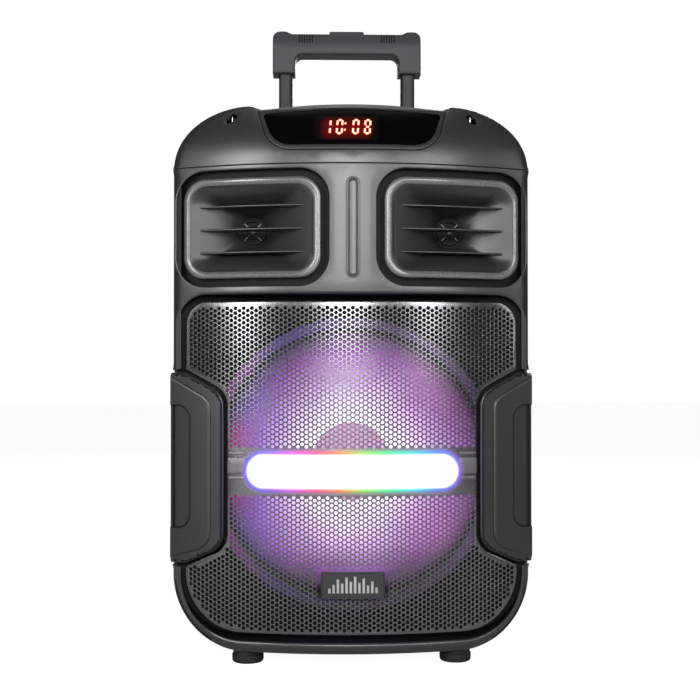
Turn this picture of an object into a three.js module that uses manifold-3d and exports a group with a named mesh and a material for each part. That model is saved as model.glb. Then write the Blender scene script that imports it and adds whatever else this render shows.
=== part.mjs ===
// A trolley party speaker: curved moulded front with two louvred tweeter horns, a perforated grille over a
// 12 inch woofer, a light bar, side grips, a top hood with controls, rear wheels and a two-stage pull handle.
// Millimetres, +Z up, the front faces -Y. The origin is on the floor, under the middle of the bounding box.
import * as THREE from 'three';
import { mergeVertices } from 'three/addons/utils/BufferGeometryUtils.js';
import Module from 'manifold-3d';

const wasm = await Module();
wasm.setup();

// ---- Driving dimensions ----
const GAP = 0.3; // between parts that touch
const HALF_DEPTH = 158; // the part runs from y = -158 (light bar) to y = +158 (wheels)
const FRONT_RADIUS = 380; // plan-view radius of the curved front
const FRONT_Y = -154; // front-most line of the curved front
const FRONT_AXIS_Y = FRONT_Y + FRONT_RADIUS;
const HALF_WIDTH = 185;
const FLOOR_GAP = 14.3; // underside of the cabinet above the floor
const SEAM_Z = 508; // between the cabinet and the top hood
const TOP_Z = 574; // crest of the shoulders
const DECK_Z = 567; // sunk deck between the shoulders
const PARTING_Y = -92; // between the front baffle and the rear cabinet
const BACK_Y = 150;
const WALL = 3.5;
const CORNER_R = 75;

const WOOFER_Z = 202;
const WOOFER_PLATE_Y = -99.5; // front face of the flat plate that carries the woofer
const WOOFER_R = 153;

const HORN = { inner: 39.5, outer: 166.5, low: 399.6, high: 488, throatX: 103, throatZ: 443.8, throatY: -91 };
const LOUVRE_Z = [420, 443.6, 467.2];

const LIGHT_BAR = { halfLength: 109.6, halfHeight: 19.8, z: 198.2 };
const BADGE = { halfLength: 32, halfHeight: 13.4, z: 84.8 };

const POST = { x: 73.5, y: 117.5 };
const INNER_TUBE = { w: 16.4, d: 22, r: 5 };
const MIDDLE_TUBE = { w: 20, d: 25.6, r: 6.3 };
const OUTER_TUBE = { w: 23.6, d: 29.2, r: 7.6 };
const TUBE_WALL = 1.3;

const WHEEL = { x: 142, y: HALF_DEPTH - 42.5, r: 42.5, width: 28, boreR: 5.5 };
const AXLE_R = 5;
const FOOT = { x: 107, y: -108, r: 16.2 };

const arcStep = (r) => (r < 10 ? 30 : 22.5); // degrees per facet of a fillet

// ---- Solids ----
function solidOf(geometry) {
  const bare = geometry.clone();
  bare.deleteAttribute('normal');
  bare.deleteAttribute('uv');
  const merged = mergeVertices(bare, 1e-4);
  const vertProperties = merged.attributes.position.array;
  const triVerts = new Uint32Array(merged.index.array);
  return new wasm.Manifold(new wasm.Mesh({ numProp: 3, vertProperties, triVerts }));
}

function geometryOf(solid) {
  const mesh = solid.getMesh();
  const geometry = new THREE.BufferGeometry();
  geometry.setAttribute('position', new THREE.BufferAttribute(mesh.vertProperties, 3));
  geometry.setIndex(new THREE.BufferAttribute(mesh.triVerts, 1));
  const flat = geometry.toNonIndexed();
  flat.computeVertexNormals();
  return flat;
}

function union(solids) {
  return solids.reduce((a, b) => a.add(b));
}

function cut(solid, ...tools) {
  return tools.reduce((a, b) => a.subtract(b), solid);
}

// ---- Outlines: lists of corners [u, v, fillet radius], counter-clockwise ----
function mirrored(corners) {
  return corners.map(([u, v, r]) => [-u, v, r]).reverse();
}

function box2(u0, v0, u1, v1, r = 0) {
  return [[u0, v0, r], [u1, v0, r], [u1, v1, r], [u0, v1, r]];
}

function neighbours(corners, i) {
  const n = corners.length;
  return [corners[(i + n - 1) % n], corners[i], corners[(i + 1) % n]];
}

// Moves every edge inwards by d (outwards if d is negative) and keeps the fillets parallel.
function inset(corners, d) {
  return corners.map((_, i) => {
    const [a, b, c] = neighbours(corners, i);
    const into = new THREE.Vector2(b[0] - a[0], b[1] - a[1]).normalize();
    const out = new THREE.Vector2(c[0] - b[0], c[1] - b[1]).normalize();
    const turn = into.cross(out);
    const k = d / (1 + into.dot(out));
    const u = b[0] + k * (-into.y - out.y);
    const v = b[1] + k * (into.x + out.x);
    const r = b[2] ? Math.max(b[2] - d * Math.sign(turn), 0.5) : 0;
    return [u, v, r];
  });
}

function outlinePoints(corners) {
  return corners.flatMap((_, i) => {
    const [a, b, c] = neighbours(corners, i).map(([u, v]) => new THREE.Vector2(u, v));
    const r = corners[i][2];
    if (!r) return [b];
    const into = b.clone().sub(a).normalize();
    const out = c.clone().sub(b).normalize();
    const turn = Math.asin(THREE.MathUtils.clamp(into.cross(out), -1, 1));
    const reach = r * Math.tan(Math.abs(turn) / 2);
    const start = b.clone().addScaledVector(into, -reach);
    const side = Math.sign(turn);
    const centre = start.clone().add(new THREE.Vector2(-into.y, into.x).multiplyScalar(r * side));
    const steps = Math.max(2, Math.ceil(THREE.MathUtils.radToDeg(Math.abs(turn)) / arcStep(r)));
    return Array.from({ length: steps + 1 }, (__, k) => start.clone().rotateAround(centre, (turn * k) / steps));
  });
}

function prism(corners, depth) {
  const shape = new THREE.Shape(outlinePoints(corners));
  return new THREE.ExtrudeGeometry(shape, { depth, bevelEnabled: false });
}

// A front-view outline (x, z) extruded from y0 to y1.
function frontPrism(corners, y0, y1) {
  return solidOf(prism(corners, y1 - y0).rotateX(Math.PI / 2).translate(0, y1, 0));
}

// A plan-view outline (x, y) extruded from z0 to z1.
function planPrism(corners, z0, z1) {
  return solidOf(prism(corners, z1 - z0).translate(0, 0, z0));
}

// A side-view outline (y, z) extruded from x0 to x1.
function sidePrism(corners, x0, x1) {
  const geometry = prism(corners, x1 - x0);
  geometry.applyMatrix4(new THREE.Matrix4().set(0, 0, 1, x0, 1, 0, 0, 0, 0, 1, 0, 0, 0, 0, 0, 1));
  return solidOf(geometry);
}

function block(x0, x1, y0, y1, z0, z1) {
  return planPrism(box2(x0, y0, x1, y1), z0, z1);
}

// A profile of [radius, height] points turned about an axis, closed on itself or on the axis.
// The heights run along +x, +y, +z, or along -y for the axis called front.
function turned(profile, axis, [x, y, z], segments = 28) {
  const lathe = (list) => {
    const points = list.map(([r, h]) => new THREE.Vector2(r, h));
    if (list[0][0] > 0) points.push(points[0].clone());
    const geometry = new THREE.LatheGeometry(points, segments);
    if (axis === 'front') geometry.rotateX(Math.PI);
    if (axis === 'z') geometry.rotateX(Math.PI / 2);
    if (axis === 'x') geometry.rotateZ(-Math.PI / 2);
    return solidOf(geometry.translate(x, y, z));
  };
  const solid = lathe(profile);
  return solid.volume() > 0 ? solid : lathe([...profile].reverse());
}

function rod(r, axis, from, to, [x, y, z], segments = 24) {
  return turned([[0, from], [r, from], [r, to], [0, to]], axis, [x, y, z], segments);
}

function ringOf(r0, r1, from, to, axis, centre, segments = 28) {
  return turned([[r0, from], [r1, from], [r1, to], [r0, to]], axis, centre, segments);
}

// Joins rings of points, each convex and with the same count, into one closed skin with a fan at each end.
function loft(rings) {
  const n = rings[0].length;
  const centre = (ring) => ring.reduce((s, p) => s.clone().add(p)).divideScalar(n);
  const points = [...rings.flat(), centre(rings[0]), centre(rings[rings.length - 1])];
  const last = (rings.length - 1) * n;
  const faces = [];
  for (let k = 0; k < n; k++) {
    const next = (k + 1) % n;
    faces.push(rings.length * n, next, k, rings.length * n + 1, last + k, last + next);
    for (let row = 0; row + 1 < rings.length; row++) {
      const a = row * n;
      const b = a + n;
      faces.push(a + k, a + next, b + next, a + k, b + next, b + k);
    }
  }
  const geometry = new THREE.BufferGeometry().setFromPoints(points).setIndex(faces);
  const solid = solidOf(geometry);
  if (solid.volume() > 0) return solid;
  return solidOf(geometry.setIndex(faces.reverse()));
}

// ---- The curved front ----
const FRONT_SPAN = 36; // degrees each side of the middle
const FRONT_STEP = 4;

// Everything behind the front surface moved back by depth, to y = 260.
function behindFront(depth) {
  const points = [];
  for (let a = -FRONT_SPAN; a <= FRONT_SPAN; a += FRONT_STEP) {
    const angle = THREE.MathUtils.degToRad(a);
    const r = FRONT_RADIUS - depth;
    points.push([r * Math.sin(angle), FRONT_AXIS_Y - r * Math.cos(angle), 0]);
  }
  const edge = points[points.length - 1];
  return planPrism([...points, [edge[0], 260, 0], [-edge[0], 260, 0]], -10, 700);
}

// The layer between two depths behind the front surface.
function frontLayer(near, far) {
  return behindFront(near).subtract(behindFront(far));
}

function arcY(x) {
  return FRONT_AXIS_Y - Math.sqrt(FRONT_RADIUS ** 2 - x ** 2);
}

// ---- Shared outlines ----
const bodyOutline = [
  [-HALF_WIDTH, FLOOR_GAP, CORNER_R],
  [HALF_WIDTH, FLOOR_GAP, CORNER_R],
  [HALF_WIDTH, SEAM_Z - GAP, 0],
  [-HALF_WIDTH, SEAM_Z - GAP, 0],
];
const grilleRecess = [[-179, 27, 66], [179, 27, 66], [179, 376.6, 30], [-179, 376.6, 30]];
const grilleOutline = inset(grilleRecess, 7.5);
const gripNotch = [
  [192, 300, 0],
  [172, 300, 12],
  [128, 277, 24],
  [128, 119, 24],
  [172, 98.5, 12],
  [192, 98.5, 0],
];
const gripBase = [
  [187, 297, 0],
  [171.5, 297, 9],
  [131, 275.5, 21],
  [131, 120.5, 21],
  [171.5, 101.5, 9],
  [187, 101.5, 0],
];
const gripFace = [[187, 294, 0], [144, 270, 16], [144, 121, 20], [187, 107, 0]];
const gripPocket = [[166, 138, 14], [195, 138, 0], [195, 264, 0], [166, 264, 14]];
const gripSide = [[-130, 101.5, 0], [-10, 133, 20], [-10, 265, 20], [-130, 297, 0]];
const hornRecess = box2(24, 385, 181, 503, 30);
const hornBezel = inset(hornRecess, 8);
const hornMouth = box2(HORN.inner, HORN.low, HORN.outer, HORN.high, 18);
const bezelOutline = [[-84, 521.6, 30], [84, 521.6, 30], [98, DECK_Z, 0], [98, 600, 0], [-98, 600, 0], [-98, DECK_Z, 0]];
const lensOutline = [[-79.5, 527.2, 25], [79.5, 527.2, 25], [91.5, 561.5, 3], [-91.5, 561.5, 3]];

function bothSides(solid) {
  return solid.add(solid.mirror([1, 0, 0]));
}

// ---- Cabinet ----
function cabinetRing(y, halfWidth, low, top, r) {
  const outline = [[-halfWidth, low, r], [halfWidth, low, r], [halfWidth, top, 0], [-halfWidth, top, 0]];
  return outlinePoints(outline).map((p) => new THREE.Vector3(p.x, y, p.y));
}

function cabinetBody(wall) {
  const top = wall ? SEAM_Z + 20 : SEAM_Z - GAP;
  const front = wall ? PARTING_Y - 20 : PARTING_Y + GAP;
  const stations = [
    [front, HALF_WIDTH, 0],
    [10, HALF_WIDTH, 0],
    [55, HALF_WIDTH - 3, 1],
    [100, HALF_WIDTH - 10, 3],
    [141 - wall, HALF_WIDTH - 20, 6],
    [BACK_Y - wall, HALF_WIDTH - 29, 13],
  ];
  return loft(stations.map(([y, half, rise]) =>
    cabinetRing(y, half - wall, FLOOR_GAP + rise + wall, top, CORNER_R - wall)));
}

function wheelWell(grow) {
  const side = WHEEL.x - WHEEL.width / 2 - 3.5 - grow;
  const round = rod(50 + grow, 'x', side, 200, [0, WHEEL.y, WHEEL.r], 32);
  const below = block(side, 200, WHEEL.y - 50 - grow, 200, -5, WHEEL.r);
  const behind = block(side, 200, WHEEL.y, 200, -5, WHEEL.r + 50 + grow);
  return bothSides(union([round, below, behind]));
}

const REAR_PANEL = box2(-95, 122, 95, 262, 8); // front-view outline of the opening for the amplifier panel
const PORT = { z: 420, r: 31 };

function rearCabinet() {
  const gripBed = bothSides(sidePrism(inset(gripSide, -GAP), 181, 200));
  const gripWall = bothSides(sidePrism(inset(gripSide, -WALL), 177.5, 200));
  const hollow = cut(cabinetBody(4), wheelWell(WALL), gripWall);
  const portTube = ringOf(PORT.r, PORT.r + 3, 80, 148, 'y', [0, 0, PORT.z]);
  const axleHole = rod(AXLE_R + 0.5, 'x', -190, 190, [0, WHEEL.y, WHEEL.r]);
  return cut(
    cabinetBody(0).subtract(hollow).add(portTube),
    wheelWell(0),
    gripBed,
    axleHole,
    rod(PORT.r, 'y', 60, 170, [0, 0, PORT.z], 32),
    frontPrism(REAR_PANEL, 140, 160),
  );
}

function frontBaffle() {
  const outer = frontPrism(bodyOutline, -170, PARTING_Y).intersect(behindFront(0));
  const inner = frontPrism(inset(bodyOutline, WALL), -170, 0).intersect(behindFront(WALL));
  const wooferBox = frontPrism(inset(grilleRecess, -3), -170, WOOFER_PLATE_Y + 5);
  const notchBlock = bothSides(frontPrism(inset(gripNotch, -3), -170, 0)).subtract(behindFront(12.5));
  const hornBlock = bothSides(frontPrism(inset(hornRecess, -3), -170, 0)).subtract(behindFront(13));
  const hollow = cut(inner, wooferBox, notchBlock, hornBlock);
  const grillePocket = frontPrism(grilleRecess, -170, WOOFER_PLATE_Y);
  const notchFloor = bothSides(frontPrism(inset(gripNotch, -1), -170, WOOFER_PLATE_Y)).intersect(frontLayer(9, 12.5));
  const hornPocket = bothSides(frontPrism(hornRecess, -170, 0)).subtract(behindFront(10));
  const hornHole = bothSides(frontPrism(inset(hornBezel, -0.4), -170, 0));
  return cut(
    outer.subtract(hollow).subtract(grillePocket).add(notchFloor),
    rod(WOOFER_R - 13, 'y', -170, -60, [0, 0, WOOFER_Z], 40),
    bothSides(frontPrism(gripNotch, -170, 0)).subtract(behindFront(9)),
    hornPocket,
    hornHole,
    frontPrism(decorSlot, -170, 0).subtract(behindFront(2)),
    bothSides(block(181, 200, -140, 0, 98.5, 300)),
  );
}

const decorSlot = box2(-4.6, 395, 4.6, 492, 4.5);

// ---- Top hood: plan rings stacked in z, with elliptical shoulders ----
const HOOD = { crest: 107, shoulder: 78, height: TOP_Z - SEAM_Z, lean: 30, backLean: 16, taper: 20 };

// t runs from 0 at the seam to 1 at the crest.
function hoodRing(t, wall) {
  const z = SEAM_Z + (HOOD.height - wall) * t;
  const half = HOOD.crest + (HOOD.shoulder - wall) * Math.sqrt(1 - Math.max(0, t) ** 2);
  const lean = HOOD.lean * t ** 2 + wall;
  const back = BACK_Y - HOOD.backLean * Math.max(0, t) ** 2.5 - wall;
  const side = [[half, 10], [half - 3, 55], [half - 10, 100], [half - HOOD.taper, back - 9], [half - HOOD.taper - 9, back]];
  const points = [];
  for (let k = -9; k <= 9; k++) {
    const x = (half * k) / 9;
    points.push(new THREE.Vector3(x, arcY(x) + lean, z));
  }
  points.push(...side.map(([x, y]) => new THREE.Vector3(x, y, z)));
  points.push(...side.reverse().map(([x, y]) => new THREE.Vector3(-x, y, z)));
  return points;
}

function hoodBody(wall) {
  const levels = [0, 0.3, 0.55, 0.75, 0.9, 1];
  return loft((wall ? [-0.1, ...levels] : levels).map((t) => hoodRing(t, wall)));
}

const DECK = { halfWidth: 97, front: -170, back: 72 };

function topHood() {
  const hollow = hoodBody(WALL).subtract(block(-101, 101, -170, 170, DECK_Z - WALL, TOP_Z + 1));
  const collar = planPrism(box2(-92, 95, 92, 131, 8), DECK_Z - 1, DECK_Z + 4);
  const tubeHoles = [1, -1].map((s) => planPrism(tubeOutline(MIDDLE_TUBE, s * POST.x, 0.5), 500, 600));
  const shell = cut(
    hoodBody(0).subtract(hollow),
    block(-98, 98, -170, 170, DECK_Z, TOP_Z + 1),
    block(-DECK.halfWidth, DECK.halfWidth, DECK.front, DECK.back, DECK_Z - WALL - 1, TOP_Z),
    frontPrism(bezelOutline, -170, FRONT_Y + 60),
    bothSides(frontPrism(strapSlot, -170, FRONT_Y + 60)),
  );
  return cut(shell.add(collar), ...tubeHoles);
}

const strapSlot = [[118.5, 559.5, 3], [124.5, 553.5, 3], [129.5, 558.5, 3], [123.5, 564.5, 3]];

function controlPanel() {
  const lip = hoodBody(0)
    .subtract(hoodBody(WALL))
    .intersect(frontPrism(inset(bezelOutline, GAP), -170, FRONT_Y + 59))
    .intersect(block(-120, 120, -170, 0, SEAM_Z, DECK_Z));
  const plate = planPrism(box2(-96.7, FRONT_Y + 26, 96.7, DECK.back - GAP, 0), DECK_Z - WALL, DECK_Z)
    .intersect(hoodBody(0));
  const holes = [
    ...buttonPlaces.map(([, x, y]) => planPrism(buttonOutline(x, y, 0.4), 550, 580)),
    ...knobPlaces.map(([, x, y]) => rod(SPINDLE_R + 0.5, 'z', 550, 580, [x, y, 0], 16)),
    planPrism(inset(socketOutline, -GAP), 550, 580),
  ];
  return cut(lip.add(plate), frontPrism(inset(lensOutline, -GAP), -170, 0), ...holes);
}

// ---- Controls ----
const SPINDLE_R = 3;
const buttonPlaces = [
  ['previous_button', -60, -82],
  ['play_button', -30, -82],
  ['next_button', 0, -82],
  ['mode_button', 30, -82],
  ['light_button', 60, -82],
];
const knobPlaces = [
  ['mic_knob', -56, -30, 10],
  ['volume_knob', 0, -30, 20],
  ['echo_knob', 56, -30, 10],
];
const socketOutline = box2(-66, 28, 66, 52, 5);

function buttonOutline(x, y, grow = 0) {
  return box2(x - 10 - grow, y - 5.5 - grow, x + 10 + grow, y + 5.5 + grow, 4);
}

function pushButton(x, y) {
  const cap = planPrism(buttonOutline(x, y), 562, 569);
  const flange = planPrism(inset(buttonOutline(x, y), -1.6), 559, 561.9);
  return cap.add(flange).add(planPrism(buttonOutline(x, y), 561, 563));
}

function knob(x, y, r) {
  const skirt = [[0, 586], [r - 1.5, 586], [r - 0.6, 584.5], [r, 567.6], [0, 567.6]];
  return turned(skirt, 'z', [x, y, 0], 24).add(rod(SPINDLE_R, 'z', 548, 570, [x, y, 0], 16));
}

function inputSockets() {
  const body = planPrism(socketOutline, 546, DECK_Z + 0.8);
  const jack = (x) => rod(3.4, 'z', 550, 580, [x, 40, 0], 16);
  const usb = (x) => planPrism(box2(x - 7, 37, x + 7, 43, 0.8), 552, 580);
  return cut(body, jack(-48), jack(-24), jack(0), usb(24), usb(49));
}

// ---- Horns and tweeters ----
function hornMouthPoints() {
  const corners = outlinePoints(hornMouth);
  return corners.flatMap((p, i) => {
    const next = corners[(i + 1) % corners.length];
    const pieces = Math.ceil(p.distanceTo(next) / 26);
    return Array.from({ length: pieces }, (_, k) => p.clone().lerp(next, k / pieces));
  });
}

function hornRing(t) {
  // t runs from 0 at the mouth to 1 at the throat; the flare narrows fast at first, then gently.
  const share = 1 - (1 - t) ** 1.5;
  return hornMouthPoints().map((p) => {
    const angle = Math.atan2(p.y - HORN.throatZ, p.x - HORN.throatX);
    const throat = new THREE.Vector2(HORN.throatX + 15 * Math.cos(angle), HORN.throatZ + 15 * Math.sin(angle));
    const at = p.clone().lerp(throat, share);
    return new THREE.Vector3(at.x, THREE.MathUtils.lerp(arcY(p.x), HORN.throatY, t), at.y);
  });
}

function hornFlare(wall) {
  const stations = [0, 0.14, 0.32, 0.54, 0.78, 1];
  const grown = (ring) => ring.map((p) => {
    const away = new THREE.Vector2(p.x - HORN.throatX, p.z - HORN.throatZ).setLength(wall);
    return new THREE.Vector3(p.x + away.x, p.y, p.z + away.y);
  });
  const rings = stations.map((t) => grown(hornRing(t)));
  const ahead = rings[0].map((p) => new THREE.Vector3(p.x, -175, p.z));
  const beyond = rings[rings.length - 1].map((p) => new THREE.Vector3(p.x, HORN.throatY + (wall ? 0 : 5), p.z));
  return loft(wall ? [ahead, ...rings] : [ahead, ...rings, beyond]);
}

function horn() {
  const bezel = frontPrism(hornBezel, -170, 0).intersect(frontLayer(0.2, 16.4));
  const flange = frontPrism(inset(hornBezel, -5), -170, 0).intersect(frontLayer(13.3, 16.4));
  const skin = hornFlare(3).intersect(behindFront(1));
  const air = hornFlare(0);
  const louvres = LOUVRE_Z.map((z) => block(HORN.inner, HORN.outer, -170, -96, z - 0.9, z + 0.9))
    .map((blade) => blade.intersect(frontLayer(9, 34)).intersect(hornFlare(1)));
  return union([union([bezel, flange, skin]).subtract(air), ...louvres]);
}

function tweeter() {
  const centre = [HORN.throatX, 0, HORN.throatZ];
  const h = -HORN.throatY;
  const motor = turned([[0, h - GAP], [34, h - GAP], [34, h - 8], [26, h - 10], [26, h - 30], [0, h - 30]], 'front', centre);
  const plug = ringOf(5.5, 13.8, h - 2, h + 3, 'front', centre, 24);
  const slots = [45, 135].map((angle) => block(-20, 20, -h - 5, -h + 5, -0.8, 0.8).rotate([0, angle, 0]).translate(centre));
  const tip = turned([[0, h - 2], [4, h - 2], [4, h + 2], [2.5, h + 4], [0, h + 5]], 'front', centre, 16);
  return union([cut(plug, ...slots), motor, tip]);
}

// ---- Woofer: heights run forwards from the origin, so the plate is at WOOFER_H ----
const WOOFER_CENTRE = [0, 0, WOOFER_Z];
const WOOFER_H = -WOOFER_PLATE_Y;

function wooferFrame() {
  const h = WOOFER_H;
  const flange = ringOf(127.5, WOOFER_R, h + GAP, h + 4, 'front', WOOFER_CENTRE, 40);
  const rim = ringOf(127.5, 138, h - 14, h + 1, 'front', WOOFER_CENTRE, 40);
  const seat = ringOf(30, 84, h - 77, h - 72, 'front', WOOFER_CENTRE, 40);
  const leg = sidePrism([[-h + 10, 129, 0], [-h + 10, 137, 0], [-h + 76, 82, 0], [-h + 76, 72, 0]], -9, 9);
  const legs = Array.from({ length: 6 }, (_, k) => leg.rotate([0, 30 + 60 * k, 0]).translate(WOOFER_CENTRE));
  return union([flange, rim, seat, ...legs]);
}

const CONE_R = 118;

function wooferSurround() {
  const h = WOOFER_H + 4;
  return turned([
    [CONE_R + GAP, h - 3], [CONE_R + 5, h - 1], [CONE_R + 8, h + 1.4], [CONE_R + 17, h + 1.4], [CONE_R + 20, h + GAP],
    [138, h + GAP], [138, h + 1.5], [CONE_R + 18, h + 2.6], [CONE_R + 7, h + 2.6], [CONE_R + GAP, h - 1.6],
  ], 'front', WOOFER_CENTRE, 40);
}

function wooferCone() {
  const h = WOOFER_H + 4;
  return turned([
    [27, h - 54], [42, h - 42], [70, h - 24], [100, h - 9], [CONE_R, h - 3], [CONE_R, h - 1.4], [99, h - 7.2],
    [69, h - 22], [41, h - 40], [27, h - 52],
  ], 'front', WOOFER_CENTRE, 40);
}

function dustCap() {
  const h = WOOFER_H + 4;
  return turned([[0, h - 25.5], [20, h - 29], [34, h - 38], [41.5, h - 39.3], [34, h - 40], [19, h - 31], [0, h - 27]],
    'front', WOOFER_CENTRE, 28);
}

function voiceCoil() {
  return ringOf(25, 26.4, WOOFER_H - 90, WOOFER_H - 49, 'front', WOOFER_CENTRE, 28);
}

function wooferSpider() {
  const h = WOOFER_H - 68;
  return ringOf(27, 76, h - 2, h, 'front', WOOFER_CENTRE, 28);
}

function wooferTopPlate() {
  return ringOf(28, 60, WOOFER_H - 85, WOOFER_H - 77.6, 'front', WOOFER_CENTRE, 28);
}

function wooferMagnet() {
  return ringOf(36, 72, WOOFER_H - 105, WOOFER_H - 85.3, 'front', WOOFER_CENTRE, 28);
}

function wooferYoke() {
  const h = WOOFER_H;
  return turned([[0, h - 112], [62, h - 112], [62, h - 105.3], [23.4, h - 105.3], [23.4, h - 78], [0, h - 78]],
    'front', WOOFER_CENTRE, 28);
}

function wooferLightRing() {
  return ringOf(141, 152, WOOFER_H + 4.3 + 2, WOOFER_H + 8, 'front', WOOFER_CENTRE, 40);
}

// ---- Grille, light bar and badge ----
function stadium(halfLength, halfHeight, z) {
  return box2(-halfLength, z - halfHeight, halfLength, z + halfHeight, halfHeight - 0.05);
}

function wooferGrille() {
  const notches = bothSides(frontPrism(inset(gripNotch, -0.5), -170, 0));
  const barSeat = frontPrism(stadium(LIGHT_BAR.halfLength - 8, LIGHT_BAR.halfHeight - 8, LIGHT_BAR.z), -170, 0);
  return cut(frontPrism(grilleOutline, -170, 0).intersect(frontLayer(3, 4.6)), notches, barSeat);
}

function lightBarTray() {
  const { halfLength, halfHeight, z } = LIGHT_BAR;
  const back = frontPrism(stadium(halfLength + 1, halfHeight + 1, z), -170, 0).intersect(frontLayer(0.2, 2.7));
  const rib = frontPrism(box2(-127, z - 3.6, 127, z + 12.8), -170, 0).intersect(frontLayer(1.2, 2.7));
  const boss = frontPrism(stadium(halfLength - 9, halfHeight - 9, z), -170, 0).intersect(frontLayer(1, 8));
  const channel = frontPrism(stadium(halfLength - 12, halfHeight - 12, z), -170, 0).intersect(frontLayer(-1, 6));
  return cut(union([back, rib, boss]), channel);
}

function lightBarLens() {
  const { halfLength, halfHeight, z } = LIGHT_BAR;
  const rim = frontPrism(stadium(halfLength, halfHeight, z), -170, 0).intersect(frontLayer(-2.2, -0.1));
  const face = frontPrism(stadium(halfLength - 1.6, halfHeight - 1.6, z), -170, 0).intersect(frontLayer(-4, -2));
  return rim.add(face);
}

function lightBarBoard() {
  const { halfLength, halfHeight, z } = LIGHT_BAR;
  return frontPrism(stadium(halfLength - 12.6, halfHeight - 12.6, z), -170, 0).intersect(frontLayer(4, 5.6));
}

function badgePlate() {
  const { halfLength, halfHeight, z } = BADGE;
  const outline = box2(-halfLength, z - halfHeight, halfLength, z + halfHeight, 2);
  const rim = frontPrism(outline, -170, 0).intersect(frontLayer(-0.6, 2.7));
  return rim.subtract(frontPrism(inset(outline, 2.2), -170, 0).subtract(behindFront(0.3)));
}

// ---- Side grips, strap pins and feet ----
function sideGrip() {
  const base = frontPrism(gripBase, -170, 0).intersect(frontLayer(0, 8.6));
  const face = frontPrism(gripFace, -170, 0).intersect(frontLayer(-6, 1));
  const side = sidePrism(gripSide, 181.3, 187).subtract(block(180, 190, -170, 0, 0, 700).subtract(behindFront(-6)));
  const pocket = frontPrism(gripPocket, -170, -45).subtract(behindFront(-1.5));
  const sidePocket = sidePrism([[-150, 138, 0], [-50, 138, 16], [-50, 264, 16], [-150, 264, 0]], 184.2, 200);
  return cut(union([base, face, side]), pocket, sidePocket);
}

function strapPin() {
  return rod(2.2, 'z', 550, 566.4, [124, FRONT_Y + 54, 0], 12);
}

function foot() {
  const r = FOOT.r;
  return turned([[0, 13.9], [r, 13.9], [r, 3], [r - 0.8, 1], [r - 2, 0], [0, 0]], 'z', [FOOT.x, FOOT.y, 0], 24);
}

// ---- Wheels ----
function tyre() {
  const { x, y, r, width } = WHEEL;
  const h = width / 2;
  return turned([
    [31, -h + 1], [38, -h], [r - 1.5, -h + 3], [r, -h + 7], [r, h - 7], [r - 1.5, h - 3], [38, h], [31, h - 1],
  ], 'x', [x, y, r], 28);
}

function wheelHub() {
  const { x, y, r, width, boreR } = WHEEL;
  const h = width / 2;
  return turned([
    [boreR, -h - 1], [12, -h - 1], [12, -h + 3], [27, -h + 3], [30.6, -h + 1], [30.6, h - 1], [27, h - 3], [12, h - 3],
    [12, h + 1], [boreR, h + 1],
  ], 'x', [x, y, r], 28);
}

function wheelAxle() {
  const { x, y, r, width } = WHEEL;
  const end = x + width / 2 + 1.6;
  const cap = (s) => rod(9, 'x', s * end, s * (end + 3.5), [0, y, r], 16);
  return union([rod(AXLE_R, 'x', -end - 1, end + 1, [0, y, r]), cap(1), cap(-1)]);
}

// ---- Pull handle ----
function tubeOutline({ w, d, r }, x, grow = 0) {
  const corners = box2(x - w / 2, POST.y - d / 2, x + w / 2, POST.y + d / 2, r);
  return inset(corners, -grow);
}

function tube(size, side, z0, z1) {
  const outline = tubeOutline(size, side * POST.x);
  return planPrism(outline, z0, z1).subtract(planPrism(inset(outline, TUBE_WALL), z0 - 1, z1 + 1));
}

const GRIP = {
  y0: 101, y1: 134, low: 654.4, barLow: 677.7, barHigh: 703, earHigh: 706.3, half: 89, legInner: 62,
};

function handleGrip() {
  const g = GRIP;
  const outline = [
    [-g.half, g.low, 0], [-g.legInner, g.low, 0], [-g.legInner, g.barLow, 9], [g.legInner, g.barLow, 9],
    [g.legInner, g.low, 0], [g.half, g.low, 0], [g.half, g.earHigh, 9], [73, g.earHigh, 6], [66, g.barHigh, 6],
    [-66, g.barHigh, 6], [-73, g.earHigh, 6], [-g.half, g.earHigh, 9],
  ];
  const sockets = [1, -1].map((s) => planPrism(tubeOutline(INNER_TUBE, s * POST.x, GAP), 640, 684));
  const profile = [[g.y0 + 2, 640, 0], [g.y1 - 2, 640, 0], [g.y1, 662, 0], [g.y1, 690, 0], [g.y1 - 5, 710, 0],
    [g.y0 + 5, 710, 0], [g.y0, 690, 0], [g.y0, 662, 0]];
  return cut(
    frontPrism(outline, g.y0, g.y1).intersect(sidePrism(profile, -100, 100)),
    ...sockets,
    block(-81, 81, 109, 126, 682, 697),
    planPrism(releaseOutline(0.5), 690, 720),
  );
}

function releaseOutline(grow = 0) {
  return box2(-20.9 - grow, 111 - grow, 20.9 + grow, 124 + grow, 3);
}

function releaseButton() {
  return planPrism(releaseOutline(), 692, 707.6);
}

function releaseYoke() {
  const bar = block(-77, 77, 114, 121, 687, 691.7);
  const rods = [1, -1].map((s) => rod(2.5, 'z', 312, 688, [s * POST.x, POST.y, 0], 12));
  return union([bar, ...rods]);
}

// ---- Electronics ----
function displayLens() {
  const skin = hoodBody(0.8).subtract(hoodBody(3.3));
  return skin.intersect(frontPrism(lensOutline, -170, FRONT_Y + 58));
}

function displayModule() {
  const digits = sidePrism([[-144, 529, 0], [-134, 529, 0], [-122, 556, 0], [-131, 556, 0]], -34, 34);
  const board = sidePrism([[-137, 526, 0], [-135.4, 526, 0], [-120.4, 560, 0], [-122, 560, 0]], -58, 58);
  return digits.add(board);
}

function controlBoard() {
  const board = planPrism(box2(-90, -100, 90, 20, 3), 543, 544.6);
  return board.add(block(-80, 80, -90, -76, 544, 552)).add(block(-10, 10, -38, -22, 544, 547.5));
}

const SWITCH = { x: 66, y: 149.8, z: 235 };

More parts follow.
